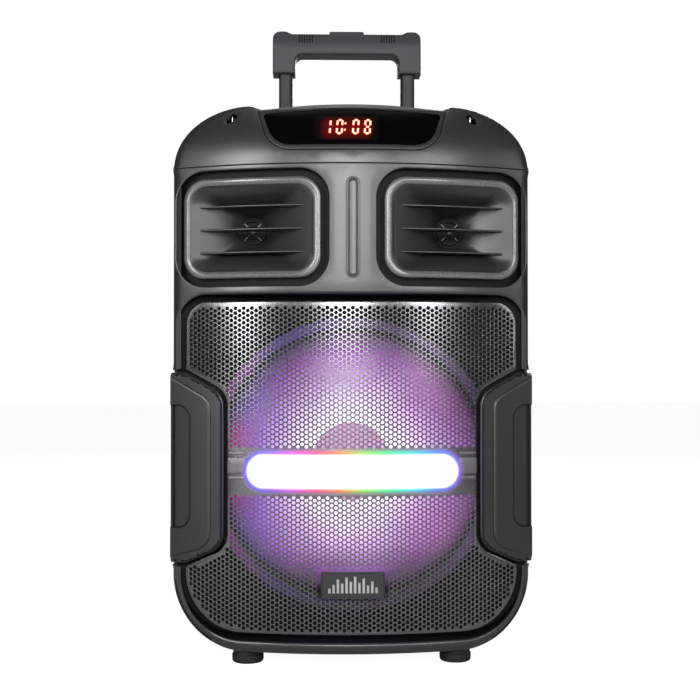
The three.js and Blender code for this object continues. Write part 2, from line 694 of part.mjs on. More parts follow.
function rearPanel() {
  const plate = frontPrism(inset(REAR_PANEL, -6), BACK_Y + GAP, 152.6);
  const plug = frontPrism(inset(REAR_PANEL, GAP), 147, 151);
  const fins = Array.from({ length: 9 }, (_, k) => block(-60 + 12 * k, -57 + 12 * k, 152, 157.6, 128, 190));
  const frame = frontPrism(box2(SWITCH.x - 14, SWITCH.z - 11, SWITCH.x + 14, SWITCH.z + 11, 2), 147, 154);
  return cut(
    union([plate, plug, ...fins, frame]),
    frontPrism(box2(SWITCH.x - 11, SWITCH.z - 8, SWITCH.x + 11, SWITCH.z + 8), 130, 170),
    frontPrism(inset(inletOutline, -GAP), 130, 170),
  );
}

const inletOutline = box2(-80, 222, -48, 246, 3);

function powerInlet() {
  const body = frontPrism(inletOutline, 128, 154);
  const recess = frontPrism(box2(-76, 225.5, -52, 242.5, 3), 139, 160);
  const pins = [-70.5, -64, -57.5].map((x) => block(x - 1, x + 1, 138, 150, 231.5, 236.5));
  return union([body.subtract(recess), ...pins]);
}

// The rocker rests in its off position, tipped by half its travel.
function powerSwitch() {
  const { x, y, z } = SWITCH;
  const profile = [[-3.6, -7, 1], [3.6, -7, 1], [2.4, 0, 0], [3.6, 7, 1], [-3.6, 7, 1]];
  return sidePrism(profile, -10.5, 10.5).rotate([-10, 0, 0]).translate([x, y, z]);
}

function amplifierBoard() {
  const board = frontPrism(box2(-86, 126, 86, 212, 2), 140, 141.8);
  const parts = [block(-60, -30, 118, 141, 140, 185), block(-10, 12, 116, 141, 135, 157), block(-10, 12, 116, 141, 170, 192),
    block(40, 76, 112, 141, 140, 180)];
  const sink = frontPrism(box2(-20, 160, 20, 168), 141, 146.7);
  return union([board, ...parts, sink]);
}

function battery() {
  const box = planPrism(box2(-75.5, 20, 75.5, 85, 3), FLOOR_GAP + 8, 112);
  return box.add(block(-60, -50, 45, 51, 111, 118)).add(block(50, 60, 45, 51, 111, 118));
}

// ---- Assembly ----
const finish = (color, roughness = 0.6, metalness = 0) => new THREE.MeshStandardMaterial({ color, roughness, metalness });
const MATERIALS = {
  shell: finish(0x3b3b3e, 0.5),
  dark: finish(0x222224, 0.6),
  steel: finish(0x46464a, 0.45, 0.6),
  bright: finish(0xb8bbc0, 0.25, 1),
  glow: finish(0xffffff, 0.3),
  lens: finish(0x050506, 0.08),
  rubber: finish(0x151516, 0.85),
  cone: finish(0x2c2a30, 0.8),
  ferrite: finish(0x303236, 0.7, 0.2),
  board: finish(0x1d5a34, 0.6),
  tube: finish(0x3c3c42, 0.35, 0.5),
  accent: finish(0x66666a, 0.5),
};

const speaker = new THREE.Group();

function addPart(name, solid, material) {
  const mesh = new THREE.Mesh(geometryOf(solid), MATERIALS[material]);
  mesh.name = name;
  speaker.add(mesh);
}

// A part made for the right side (+X), and its mirror image.
function addPair(name, solid, material) {
  addPart(`${name}_right`, solid, material);
  addPart(`${name}_left`, solid.mirror([1, 0, 0]), material);
}

function addCabinet() {
  addPart('rear_cabinet', rearCabinet(), 'shell');
  addPart('front_baffle', frontBaffle(), 'shell');
  addPart('top_hood', topHood(), 'shell');
  addPart('woofer_grille', wooferGrille(), 'steel');
  addPart('light_bar_tray', lightBarTray(), 'steel');
  addPart('light_bar_lens', lightBarLens(), 'glow');
  addPart('light_bar_board', lightBarBoard(), 'board');
  addPart('badge_plate', badgePlate(), 'dark');
  addPair('side_grip', sideGrip(), 'shell');
  addPair('strap_pin', strapPin(), 'bright');
  addPair('foot', foot(), 'rubber');
}

function addSpeakers() {
  addPart('woofer_frame', wooferFrame(), 'dark');
  addPart('woofer_surround', wooferSurround(), 'rubber');
  addPart('woofer_cone', wooferCone(), 'cone');
  addPart('dust_cap', dustCap(), 'cone');
  addPart('voice_coil', voiceCoil(), 'bright');
  addPart('woofer_spider', wooferSpider(), 'accent');
  addPart('woofer_top_plate', wooferTopPlate(), 'bright');
  addPart('woofer_magnet', wooferMagnet(), 'ferrite');
  addPart('woofer_yoke', wooferYoke(), 'bright');
  addPart('woofer_light_ring', wooferLightRing(), 'glow');
  addPair('horn', horn(), 'dark');
  addPair('tweeter', tweeter(), 'dark');
}

function addControls() {
  addPart('control_panel', controlPanel(), 'shell');
  addPart('display_lens', displayLens(), 'lens');
  addPart('display_module', displayModule(), 'lens');
  addPart('control_board', controlBoard(), 'board');
  addPart('input_sockets', inputSockets(), 'dark');
  for (const [name, x, y, r] of knobPlaces) addPart(name, knob(x, y, r), 'dark');
  for (const [name, x, y] of buttonPlaces) addPart(name, pushButton(x, y), 'rubber');
  addPart('rear_panel', rearPanel(), 'dark');
  addPart('power_inlet', powerInlet(), 'dark');
  addPart('power_switch', powerSwitch(), 'dark');
  addPart('amplifier_board', amplifierBoard(), 'board');
  addPart('battery', battery(), 'accent');
}

function addRunningGear() {
  addPair('tyre', tyre(), 'rubber');
  addPair('wheel_hub', wheelHub(), 'dark');
  addPart('wheel_axle', wheelAxle(), 'bright');
  addPair('outer_tube', tube(OUTER_TUBE, 1, 282, DECK_Z - WALL - GAP), 'tube');
  addPair('middle_tube', tube(MIDDLE_TUBE, 1, 290, 572), 'tube');
  addPair('inner_tube', tube(INNER_TUBE, 1, 300, 681), 'tube');
  addPart('handle_grip', handleGrip(), 'accent');
  addPart('release_button', releaseButton(), 'accent');
  addPart('release_yoke', releaseYoke(), 'bright');
}

addCabinet();
addSpeakers();
addControls();
addRunningGear();

export default speaker;
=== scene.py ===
"""Looks of the trolley party speaker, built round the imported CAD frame.

Shapes are in millimetres until they are made into objects.
"""

import math

import bmesh
import bpy
import numpy as np
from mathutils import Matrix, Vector
from mathutils.geometry import delaunay_2d_cdt


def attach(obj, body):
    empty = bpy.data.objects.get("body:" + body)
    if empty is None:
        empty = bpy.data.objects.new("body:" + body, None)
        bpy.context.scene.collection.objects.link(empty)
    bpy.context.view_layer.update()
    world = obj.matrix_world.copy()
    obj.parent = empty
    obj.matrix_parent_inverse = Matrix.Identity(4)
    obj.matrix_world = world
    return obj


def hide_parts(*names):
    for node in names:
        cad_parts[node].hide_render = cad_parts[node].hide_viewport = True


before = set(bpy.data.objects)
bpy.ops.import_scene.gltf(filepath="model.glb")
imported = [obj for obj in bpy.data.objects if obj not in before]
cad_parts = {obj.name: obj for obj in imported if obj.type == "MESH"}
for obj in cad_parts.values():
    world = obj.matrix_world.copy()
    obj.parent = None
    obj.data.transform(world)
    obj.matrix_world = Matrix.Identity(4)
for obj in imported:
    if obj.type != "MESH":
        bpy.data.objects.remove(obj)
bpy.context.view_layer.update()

MM = 0.001
CABINET = "cabinet"

# Sizes shared with the CAD model, in millimetres.
FRONT_RADIUS = 380.0
FRONT_Y = -154.0
FRONT_AXIS_Y = FRONT_Y + FRONT_RADIUS
HALF_WIDTH = 185.0
FLOOR_GAP = 14.3
SEAM_Z = 508.0
TOP_Z = 574.0
DECK_Z = 567.0
DECK_HALF = 98.0
BROW_HIGH = 4.2
PARTING_Y = -92.0
BACK_Y = 150.0
CORNER_R = 75.0
WOOFER_Z = 202.0
PLATE_Y = -99.5
HORN_X, HORN_Z, THROAT_Y = 103.0, 443.8, -91.0
BAR_Z, BAR_HALF, BAR_R = 198.2, 109.6, 19.8
BADGE_Z = 84.8
POST_X, POST_Y = 73.5, 117.5
WHEEL_X, WHEEL_Y, WHEEL_R = 142.0, 115.5, 42.5

# Brightness of the world, of the light bar's middle and edge, and of the lit woofer.
WORLD_LIGHT = 0.05
BAR_CORE, BAR_RIM = 2.2, 1.0
CONE_GLOW = 1.7

# The camera stands in front of the cabinet, turned slightly to the right and up, in millimetres.
# VIEW_WIDTH is what the picture takes in at the distance of the cabinet's front.
CAMERA_X, CAMERA_Z, CAMERA_AWAY = -37.0, 305.0, 1300.0
AIM_RIGHT, AIM_UP = 34.0, 15.0
VIEW_WIDTH = 700.0
SENSOR_WIDTH = 36.0


# ---------------------------------------------------------------- the camera and the light
def add_camera():
    data = bpy.data.cameras.new("camera")
    data.sensor_width = SENSOR_WIDTH
    data.lens = SENSOR_WIDTH * CAMERA_AWAY / VIEW_WIDTH
    data.clip_end = 50.0
    camera = bpy.data.objects.new("camera", data)
    camera.location = (CAMERA_X * MM, (FRONT_Y - CAMERA_AWAY) * MM, CAMERA_Z * MM)
    yaw = math.atan(AIM_RIGHT / CAMERA_AWAY)
    pitch = math.atan(AIM_UP / CAMERA_AWAY)
    camera.rotation_euler = (math.pi / 2 + pitch, 0.0, -yaw)
    bpy.context.scene.collection.objects.link(camera)
    bpy.context.scene.camera = camera


def add_softbox(name, location, target, size, power, color=(1, 1, 1)):
    data = bpy.data.lights.new(name, "AREA")
    data.shape = "RECTANGLE"
    data.size, data.size_y = size
    data.energy = power
    data.color = color
    lamp = bpy.data.objects.new(name, data)
    lamp.location = location
    aim = Vector(target) - Vector(location)
    lamp.rotation_euler = aim.to_track_quat("-Z", "Y").to_euler()
    bpy.context.scene.collection.objects.link(lamp)
    return lamp


def add_world():
    """White where the camera looks past the object, and a weak even light on the object."""
    world = bpy.data.worlds.new("studio")
    world.use_nodes = True
    bpy.context.scene.world = world
    nodes, links = world.node_tree.nodes, world.node_tree.links
    nodes.clear()
    out = nodes.new("ShaderNodeOutputWorld")
    mix = nodes.new("ShaderNodeMixShader")
    links.new(nodes.new("ShaderNodeLightPath").outputs["Is Camera Ray"], mix.inputs["Fac"])
    for slot, (color, strength) in enumerate((((0.93, 0.95, 1.0), WORLD_LIGHT), ((1, 1, 1), 1.0))):
        light = nodes.new("ShaderNodeBackground")
        light.inputs["Color"].default_value = (*color, 1)
        light.inputs["Strength"].default_value = strength
        links.new(light.outputs[0], mix.inputs[1 + slot])
    links.new(mix.outputs[0], out.inputs[0])


def floor_material():
    """White paper that the camera sees nearly blown out, as in a studio, with the soft shadows left in."""
    material, tree, shader = tree_of("floor_white")
    shader.inputs["Base Color"].default_value = (0.5, 0.5, 0.5, 1)
    shader.inputs["Roughness"].default_value = 0.9
    glow = tree.nodes.new("ShaderNodeEmission")
    glow.inputs["Strength"].default_value = 1.2
    mix = tree.nodes.new("ShaderNodeMixShader")
    share = tree.nodes.new("ShaderNodeMath")
    share.operation = "MULTIPLY"
    share.inputs[1].default_value = 0.8
    tree.links.new(tree.nodes.new("ShaderNodeLightPath").outputs["Is Camera Ray"], share.inputs[0])
    tree.links.new(share.outputs[0], mix.inputs["Fac"])
    tree.links.new(shader.outputs[0], mix.inputs[1])
    tree.links.new(glow.outputs[0], mix.inputs[2])
    out = next(n for n in tree.nodes if n.type == "OUTPUT_MATERIAL")
    tree.links.new(mix.outputs[0], out.inputs[0])
    return material


def add_stage():
    bpy.context.scene.view_settings.view_transform = "Standard"
    add_world()
    mesh = bpy.data.meshes.new("floor")
    mesh.from_pydata([(-9, -9, 0), (9, -9, 0), (9, 9, 0), (-9, 9, 0)], [], [(0, 1, 2, 3)])
    floor = bpy.data.objects.new("floor", mesh)
    bpy.context.scene.collection.objects.link(floor)
    floor.data.materials.append(floor_material())
    add_softbox("front_box", (-0.05, -2.4, 0.85), (0, -0.1, 0.42), (0.6, 0.8), 30)
    add_softbox("left_box", (-1.45, -1.9, 0.98), (-0.1, -0.1, 0.38), (0.36, 1.15), 32)
    add_softbox("right_box", (1.12, -2.07, 0.98), (0.1, -0.1, 0.38), (0.36, 1.15), 20)
    add_softbox("left_strip", (-1.95, -1.0, 0.9), (-0.1, -0.1, 0.35), (0.12, 1.2), 2)
    add_softbox("right_strip", (1.95, -1.0, 0.9), (0.1, -0.1, 0.35), (0.12, 1.2), 4)
    add_softbox("top_box", (0, 0.1, 2.3), (0, 0.1, 0.4), (1.0, 0.8), 5)
    add_softbox("rear_box", (0.4, 2.4, 1.4), (0, 0, 0.35), (1.4, 1.2), 45)


# ---------------------------------------------------------------- materials
def tree_of(name):
    material = bpy.data.materials.new(name)
    material.use_nodes = True
    tree = material.node_tree
    tree.nodes.clear()
    out = tree.nodes.new("ShaderNodeOutputMaterial")
    shader = tree.nodes.new("ShaderNodeBsdfPrincipled")
    tree.links.new(shader.outputs[0], out.inputs[0])
    return material, tree, shader


class Nodes:
    """Short ways to add and join shader nodes."""

    def __init__(self, tree):
        self.tree = tree
        self.coords = tree.nodes.new("ShaderNodeTexCoord").outputs["Object"]

    def node(self, kind, **inputs):
        made = self.tree.nodes.new(kind)
        for key, value in inputs.items():
            key = int(key[1:]) if key[0] == "i" and key[1:].isdigit() else key.replace("_", " ")
            self.feed(made.inputs[key], value)
        return made

    def feed(self, socket, value):
        if isinstance(value, bpy.types.NodeSocket):
            self.tree.links.new(value, socket)
        else:
            socket.default_value = value

    def noise(self, scale, detail=2.0, roughness=0.5, vector=None):
        made = self.node("ShaderNodeTexNoise", Vector=vector or self.coords, Scale=scale, Detail=detail)
        made.inputs["Roughness"].default_value = roughness
        return made.outputs["Fac"]

    def cells(self, scale, vector=None):
        made = self.node("ShaderNodeTexVoronoi", Vector=vector or self.coords, Scale=scale)
        return made.outputs

    def math(self, operation, a, b=0.0, clamp=False):
        made = self.tree.nodes.new("ShaderNodeMath")
        made.operation = operation
        made.use_clamp = clamp
        self.feed(made.inputs[0], a)
        self.feed(made.inputs[1], b)
        return made.outputs[0]

    def length(self, a, b):
        squares = self.math("ADD", self.math("MULTIPLY", a, a), self.math("MULTIPLY", b, b))
        return self.math("SQRT", squares)

    def span(self, value, low, high, to_low=0.0, to_high=1.0):
        made = self.node("ShaderNodeMapRange", Value=value)
        for key, number in zip(("From Min", "From Max", "To Min", "To Max"), (low, high, to_low, to_high)):
            made.inputs[key].default_value = number
        return made.outputs[0]

    def ramp(self, value, stops):
        made = self.node("ShaderNodeValToRGB", Fac=value)
        elements = made.color_ramp.elements
        while len(elements) < len(stops):
            elements.new(0.5)
        for element, (place, color) in zip(elements, stops):
            element.position = place
            element.color = (*color, 1)
        return made.outputs["Color"]

    def mix(self, share, a, b):
        made = self.tree.nodes.new("ShaderNodeMix")
        made.data_type = "RGBA"
        self.feed(made.inputs[0], share)
        self.feed(made.inputs[6], a if isinstance(a, bpy.types.NodeSocket) else (*a, 1))
        self.feed(made.inputs[7], b if isinstance(b, bpy.types.NodeSocket) else (*b, 1))
        return made.outputs[2]

    def split(self, vector=None):
        made = self.node("ShaderNodeSeparateXYZ", Vector=vector or self.coords)
        return made.outputs

    def bump(self, shader, height, strength, distance):
        made = self.node("ShaderNodeBump", Height=height)
        made.inputs["Strength"].default_value = strength
        made.inputs["Distance"].default_value = distance
        self.feed(shader.inputs["Normal"], made.outputs[0])


def moulded(name, color, roughness=0.42, grain=1.0, speck=1.0, sheen=0.5):
    """Moulded plastic with a fine spark-eroded grain, faint flakes and slight cloudiness."""
    material, tree, shader = tree_of(name)
    n = Nodes(tree)
    fine = n.noise(1300, 2.0)
    cloud = n.noise(9, 2.0)
    tone = n.math("ADD", n.math("MULTIPLY", fine, 0.8), n.math("MULTIPLY", cloud, 0.2))
    dark = tuple(c * 0.8 for c in color)
    light = tuple(min(1, c * 1.2) for c in color)
    base = n.mix(n.span(tone, 0.35, 0.65), dark, light)
    bright = n.math("GREATER_THAN", n.split(n.cells(1500)["Color"])[0], 0.88)
    flake = tuple(min(1, c * 1.7 + 0.01) for c in color)
    n.feed(shader.inputs["Base Color"], n.mix(n.math("MULTIPLY", bright, 0.5 * speck), base, flake))
    n.feed(shader.inputs["Roughness"], n.span(tone, 0.3, 0.7, roughness - 0.05, roughness + 0.07))
    shader.inputs["Specular IOR Level"].default_value = sheen
    n.bump(shader, fine, 0.3 * grain, 0.00012)
    return material


def metal(name, color, roughness=0.3, metallic=1.0, streak=(1, 1, 1), amount=0.12):
    """Metal whose noise is stretched along one way by streak: brushed, drawn or just slightly uneven."""
    material, tree, shader = tree_of(name)
    n = Nodes(tree)
    stretched = n.node("ShaderNodeMapping", Vector=n.coords, Scale=streak).outputs[0]
    fine = n.noise(900, 2.0, vector=stretched)
    broad = n.noise(14, 3.0)
    tone = n.math("ADD", n.math("MULTIPLY", fine, 0.6), n.math("MULTIPLY", broad, 0.4))
    dark = tuple(c * (1 - amount) for c in color)
    light = tuple(min(1, c * (1 + amount)) for c in color)
    n.feed(shader.inputs["Base Color"], n.mix(n.span(tone, 0.35, 0.65), dark, light))
    n.feed(shader.inputs["Roughness"], n.span(tone, 0.3, 0.7, roughness - 0.06, roughness + 0.08))
    shader.inputs["Metallic"].default_value = metallic
    n.bump(shader, fine, 0.12, 0.0001)
    return material


def rainbow(n, x, low, high, colors):
    stops = [(k / (len(colors) - 1), color) for k, color in enumerate(colors)]
    return n.ramp(n.span(x, low, high), stops)


SPECTRUM = [(0.10, 0.08, 0.80), (0.18, 0.10, 0.90), (0.75, 0.08, 0.75), (0.90, 0.05, 0.25),
            (0.95, 0.25, 0.03),
            (0.25, 0.80, 0.06), (0.02, 0.85, 0.30), (0.04, 0.65, 0.75), (0.05, 0.20, 0.95),
            (0.16, 0.08, 0.80)]


def from_bar(n):
    """Distance from the light bar's middle line, in metres, and the spectrum's colour at that place."""
    x, _, z = n.split()
    past = n.math("MAXIMUM", n.math("SUBTRACT", n.math("ABSOLUTE", x), (BAR_HALF - BAR_R) * MM), 0.0)
    return n.length(past, n.math("SUBTRACT", z, BAR_Z * MM)), rainbow(n, x, -BAR_HALF * MM, BAR_HALF * MM,
                                                                      SPECTRUM)


def bar_glow():
    """The lit bar: white inside, with a coloured rim that runs through the spectrum from side to side."""
    material, tree, shader = tree_of("light_bar_glow")
    n = Nodes(tree)
    away, tint = from_bar(n)
    rim = n.span(away, (BAR_R - 5.4) * MM, (BAR_R - 1.6) * MM)
    ripple = n.noise(120, 1.0)
    core = n.mix(n.span(ripple, 0.3, 0.7, 0.0, 0.05), (1, 1, 1), (0.85, 0.92, 1.0))
    n.feed(shader.inputs["Emission Color"], n.mix(rim, core, tint))
    n.feed(shader.inputs["Emission Strength"], n.span(rim, 0.0, 1.0, BAR_CORE, BAR_RIM))
    shader.inputs["Base Color"].default_value = (0.1, 0.1, 0.11, 1)
    shader.inputs["Roughness"].default_value = 0.3
    return material


def ring_glow():
    """The light ring behind the grille, dim here: violet above, blue and magenta at the left."""
    material, tree, shader = tree_of("ring_glow")
    n = Nodes(tree)
    x, _, z = n.split()
    colors = [(0.55, 0.02, 0.30), (0.12, 0.03, 0.60), (0.10, 0.03, 0.22), (0.14, 0.05, 0.25),
              (0.20, 0.06, 0.30)]
    n.feed(shader.inputs["Emission Color"], rainbow(n, x, -0.15, 0.15, colors))
    fade = n.span(z, 0.05, 0.13, 0.03, 0.40)
    n.feed(shader.inputs["Emission Strength"],
           n.math("MULTIPLY", n.span(n.noise(60, 1.0), 0.3, 0.7, 0.7, 1.2), fade))
    shader.inputs["Base Color"].default_value = (0.03, 0.03, 0.03, 1)
    return material


def wash(n):
    """The woofer's light by place: near white in the middle, violet round it, magenta at the far left."""
    x, _, z = n.split()
    up = n.math("SUBTRACT", z, WOOFER_Z * MM)
    away = n.length(x, up)
    tint = n.mix(n.span(away, 0.045, 0.115), (0.82, 0.70, 0.92), (0.50, 0.16, 0.70))
    pink = n.math("MULTIPLY", n.span(x, 0.035, 0.10), n.span(n.math("ABSOLUTE", up), 0.02, 0.06))
    tint = n.mix(n.math("MULTIPLY", pink, 0.8), tint, (0.62, 0.16, 0.62))
    blue = n.math("MULTIPLY", n.span(x, -0.06, -0.11), 0.75)
    tint = n.mix(blue, tint, (0.20, 0.07, 0.85))
    magenta = n.math("MULTIPLY", n.span(x, -0.095, -0.125), n.span(n.math("ABSOLUTE", up), 0.06, 0.03))
    tint = n.mix(magenta, tint, (0.70, 0.03, 0.35))
    level = n.math("MULTIPLY", n.span(away, 0.139, 0.118, 0.04, 1.0), n.span(up, -0.128, -0.085, 0.10, 1.0))
    level = n.math("MULTIPLY", level, n.span(away, 0.06, 0.125, 1.0, 0.42))
    return tint, level


def lit(name, color, roughness, strength, weave=0.0, tone=None):
    """A woofer part glowing with the light ring's wash painted on as emission, its hue drawn towards tone
    where one is given.
    """
    material, tree, shader = tree_of(name)
    n = Nodes(tree)
    tint, level = wash(n)
    if tone:
        tint = n.mix(0.75, tint, tone)
    patches = n.span(n.noise(16, 2.0), 0.3, 0.7, 0.80, 1.15)
    pulp = n.span(n.noise(500, 2.0), 0.3, 0.7, 0.9, 1.08)
    n.feed(shader.inputs["Emission Color"], tint)
    strong = n.math("MULTIPLY", n.math("MULTIPLY", level, patches), n.math("MULTIPLY", pulp, strength))
    n.feed(shader.inputs["Emission Strength"], strong)
    n.feed(shader.inputs["Base Color"],
           n.mix(n.span(n.noise(600, 2.0), 0.3, 0.7), color, tuple(c * 1.6 for c in color)))
    shader.inputs["Roughness"].default_value = roughness
    n.bump(shader, n.noise(900, 2.0), 0.3 + weave, 0.0002)
    return material


def lit_metal(name, color, roughness, spill, metallic=0.6):
    """Painted steel that catches the bar's colours close to the bar, and the woofer's wash elsewhere."""
    material = metal(name, color, roughness, metallic)
    tree = material.node_tree
    shader = next(node for node in tree.nodes if node.type == "BSDF_PRINCIPLED")
    n = Nodes(tree)
    away, tint = from_bar(n)
    near = n.math("POWER", n.span(away, (BAR_R + 7) * MM, BAR_R * MM), 2.0)
    color_there, level = wash(n)
    n.feed(shader.inputs["Emission Color"], n.mix(near, color_there, tint))
    n.feed(shader.inputs["Emission Strength"],
           n.math("MAXIMUM", n.math("MULTIPLY", near, 0.75), n.math("MULTIPLY", level, spill)))
    return material


def glass_black():
    """Smoked display window: glossy, with the faintest unevenness and dust."""
    material, tree, shader = tree_of("display_black")
    n = Nodes(tree)
    dust = n.math("GREATER_THAN", n.noise(2500, 0.0), 0.79)
    n.feed(shader.inputs["Base Color"],
           n.mix(n.math("MULTIPLY", dust, 0.1), (0.0015, 0.0012, 0.0015), (0.05, 0.05, 0.05)))
    n.feed(shader.inputs["Roughness"], n.span(n.noise(30, 2.0), 0.3, 0.7, 0.16, 0.24))
    shader.inputs["Specular IOR Level"].default_value = 0.04
    return material


def display_field():
    """The dark red glow that the figures throw on the window, fading out round them."""
    material, tree, shader = tree_of("digit_field")
    n = Nodes(tree)
    x, _, z = n.split()
    across = n.math("MAXIMUM", n.math("SUBTRACT", n.math("ABSOLUTE", n.math("SUBTRACT", x, -0.006)), 0.018),
                    0.0)
    up = n.math("MAXIMUM", n.math("SUBTRACT", n.math("ABSOLUTE", n.math("SUBTRACT", z, 0.5445)), 0.004),
                0.0)
    away = n.length(across, up)
    dots = n.span(n.noise(1500, 1.0), 0.3, 0.7, 0.8, 1.2)
    shader.inputs["Base Color"].default_value = (0.002, 0.001, 0.001, 1)
    shader.inputs["Specular IOR Level"].default_value = 0.04
    shader.inputs["Emission Color"].default_value = (0.16, 0.002, 0.001, 1)
    n.feed(shader.inputs["Emission Strength"], n.math("MULTIPLY", n.span(away, 0.0, 0.010, 0.8, 0.0), dots))
    return material


def digit_glow(name, color, strength):
    material, tree, shader = tree_of(name)
    n = Nodes(tree)
    shader.inputs["Base Color"].default_value = (0.1, 0.0, 0.0, 1)
    n.feed(shader.inputs["Emission Color"],
           n.mix(n.span(n.noise(900, 1.0), 0.3, 0.7), color, tuple(min(1, c * 1.5) for c in color)))
    shader.inputs["Emission Strength"].default_value = strength
    return material


def circuit():
    """Green lacquer with copper tracks showing through as a fine grid of brighter lines."""
    material, tree, shader = tree_of("circuit_board")
    n = Nodes(tree)
    tracks = n.math("LESS_THAN", n.cells(260)["Distance"], 0.16)
    base = n.mix(n.noise(40, 2.0), (0.008, 0.06, 0.022), (0.012, 0.10, 0.035))
    n.feed(shader.inputs["Base Color"], n.mix(n.math("MULTIPLY", tracks, 0.7), base, (0.25, 0.22, 0.09)))
    n.feed(shader.inputs["Roughness"], n.span(n.noise(300, 1.0), 0.3, 0.7, 0.3, 0.45))
    n.bump(shader, tracks, 0.3, 0.0002)
    return material


def make_materials():
    return {
        "shell": moulded("shell_plastic", (0.015, 0.015, 0.016), 0.35, sheen=0.8),
        "dark": moulded("dark_plastic", (0.011, 0.011, 0.0115), 0.44, speck=0.3),
        # Black plastic for the black parts, and also painted shade in recesses, grooves, slots and vents.
        "black": moulded("black_plastic_and_painted_shade", (0.0022, 0.0022, 0.0024), 0.6, speck=0.1, sheen=0.2),
        "bezel": moulded("bezel_plastic", (0.09, 0.09, 0.092), 0.26, speck=0.4, sheen=1.0),
        "horn": moulded("horn_plastic", (0.016, 0.016, 0.017), 0.40, speck=0.4, sheen=0.8),
        "grip": moulded("grip_plastic", (0.012, 0.012, 0.013), 0.36, speck=0.5, sheen=0.6),
        "handle": moulded("handle_plastic", (0.030, 0.030, 0.033), 0.5, speck=0.5, sheen=0.35),
        "soft": moulded("soft_button", (0.030, 0.030, 0.032), 0.6, speck=0.2),
        "print": moulded("white_print", (0.55, 0.55, 0.56), 0.5, speck=0.0, grain=0.5),
        "rubber": moulded("rubber", (0.010, 0.010, 0.010), 0.62, speck=0.0, sheen=0.35),
        "tyre": moulded("tyre_rubber", (0.013, 0.013, 0.013), 0.55, speck=0.2, sheen=0.35),
        "grille": lit_metal("grille_steel", (0.17, 0.17, 0.175), 0.23, 0.035, 1.0),
        "tray": lit_metal("tray_steel", (0.12, 0.12, 0.125), 0.40, 0.03),
        "steel": metal("steel", (0.42, 0.42, 0.44), 0.3, streak=(1, 1, 0.05)),
        "tube": metal("painted_tube", (0.008, 0.008, 0.010), 0.55, 0.0, streak=(1, 1, 0.03)),
        "silver": metal("badge_silver", (0.42, 0.42, 0.43), 0.36, 0.8, streak=(0.05, 1, 1)),
        "aluminium": metal("aluminium", (0.62, 0.63, 0.65), 0.3),
        "copper": metal("copper", (0.65, 0.30, 0.16), 0.3, streak=(1, 0.05, 1)),
        "ferrite": metal("ferrite", (0.035, 0.035, 0.038), 0.55, 0.2),
        "board": circuit(),
        "battery": moulded("battery_case", (0.05, 0.05, 0.055), 0.5, speck=0.2),
        "spider": moulded("spider_cloth", (0.20, 0.13, 0.05), 0.8, grain=2.0, speck=0.3),
        "cone": lit("cone_paper", (0.02, 0.02, 0.024), 0.75, CONE_GLOW),
        # The dust cap's tone tints the ring light painted on it.
        "cap": lit("dust_cap_paper", (0.02, 0.018, 0.024), 0.6, CONE_GLOW * 0.62, tone=(0.62, 0.24, 0.56)),
        "surround": lit("surround_rubber", (0.010, 0.010, 0.012), 0.55, CONE_GLOW),
        "frame": lit("frame_steel", (0.010, 0.010, 0.010), 0.5, CONE_GLOW * 0.12),
        "bar": bar_glow(),
        "ring": ring_glow(),
        "glass": glass_black(),
        "digit": digit_glow("digit_red", (1.0, 0.10, 0.04), 2.6),
        "digit_core": digit_glow("digit_core", (1.0, 0.62, 0.42), 3.2),
        "halo": display_field(),
    }


# ---------------------------------------------------------------- outlines: corners are [u, v, fillet radius]
def box2(u0, v0, u1, v1, r=0.0):
    return [(u0, v0, r), (u1, v0, r), (u1, v1, r), (u0, v1, r)]


def mirrored(corners):
    return [(-u, v, r) for u, v, r in reversed(corners)]


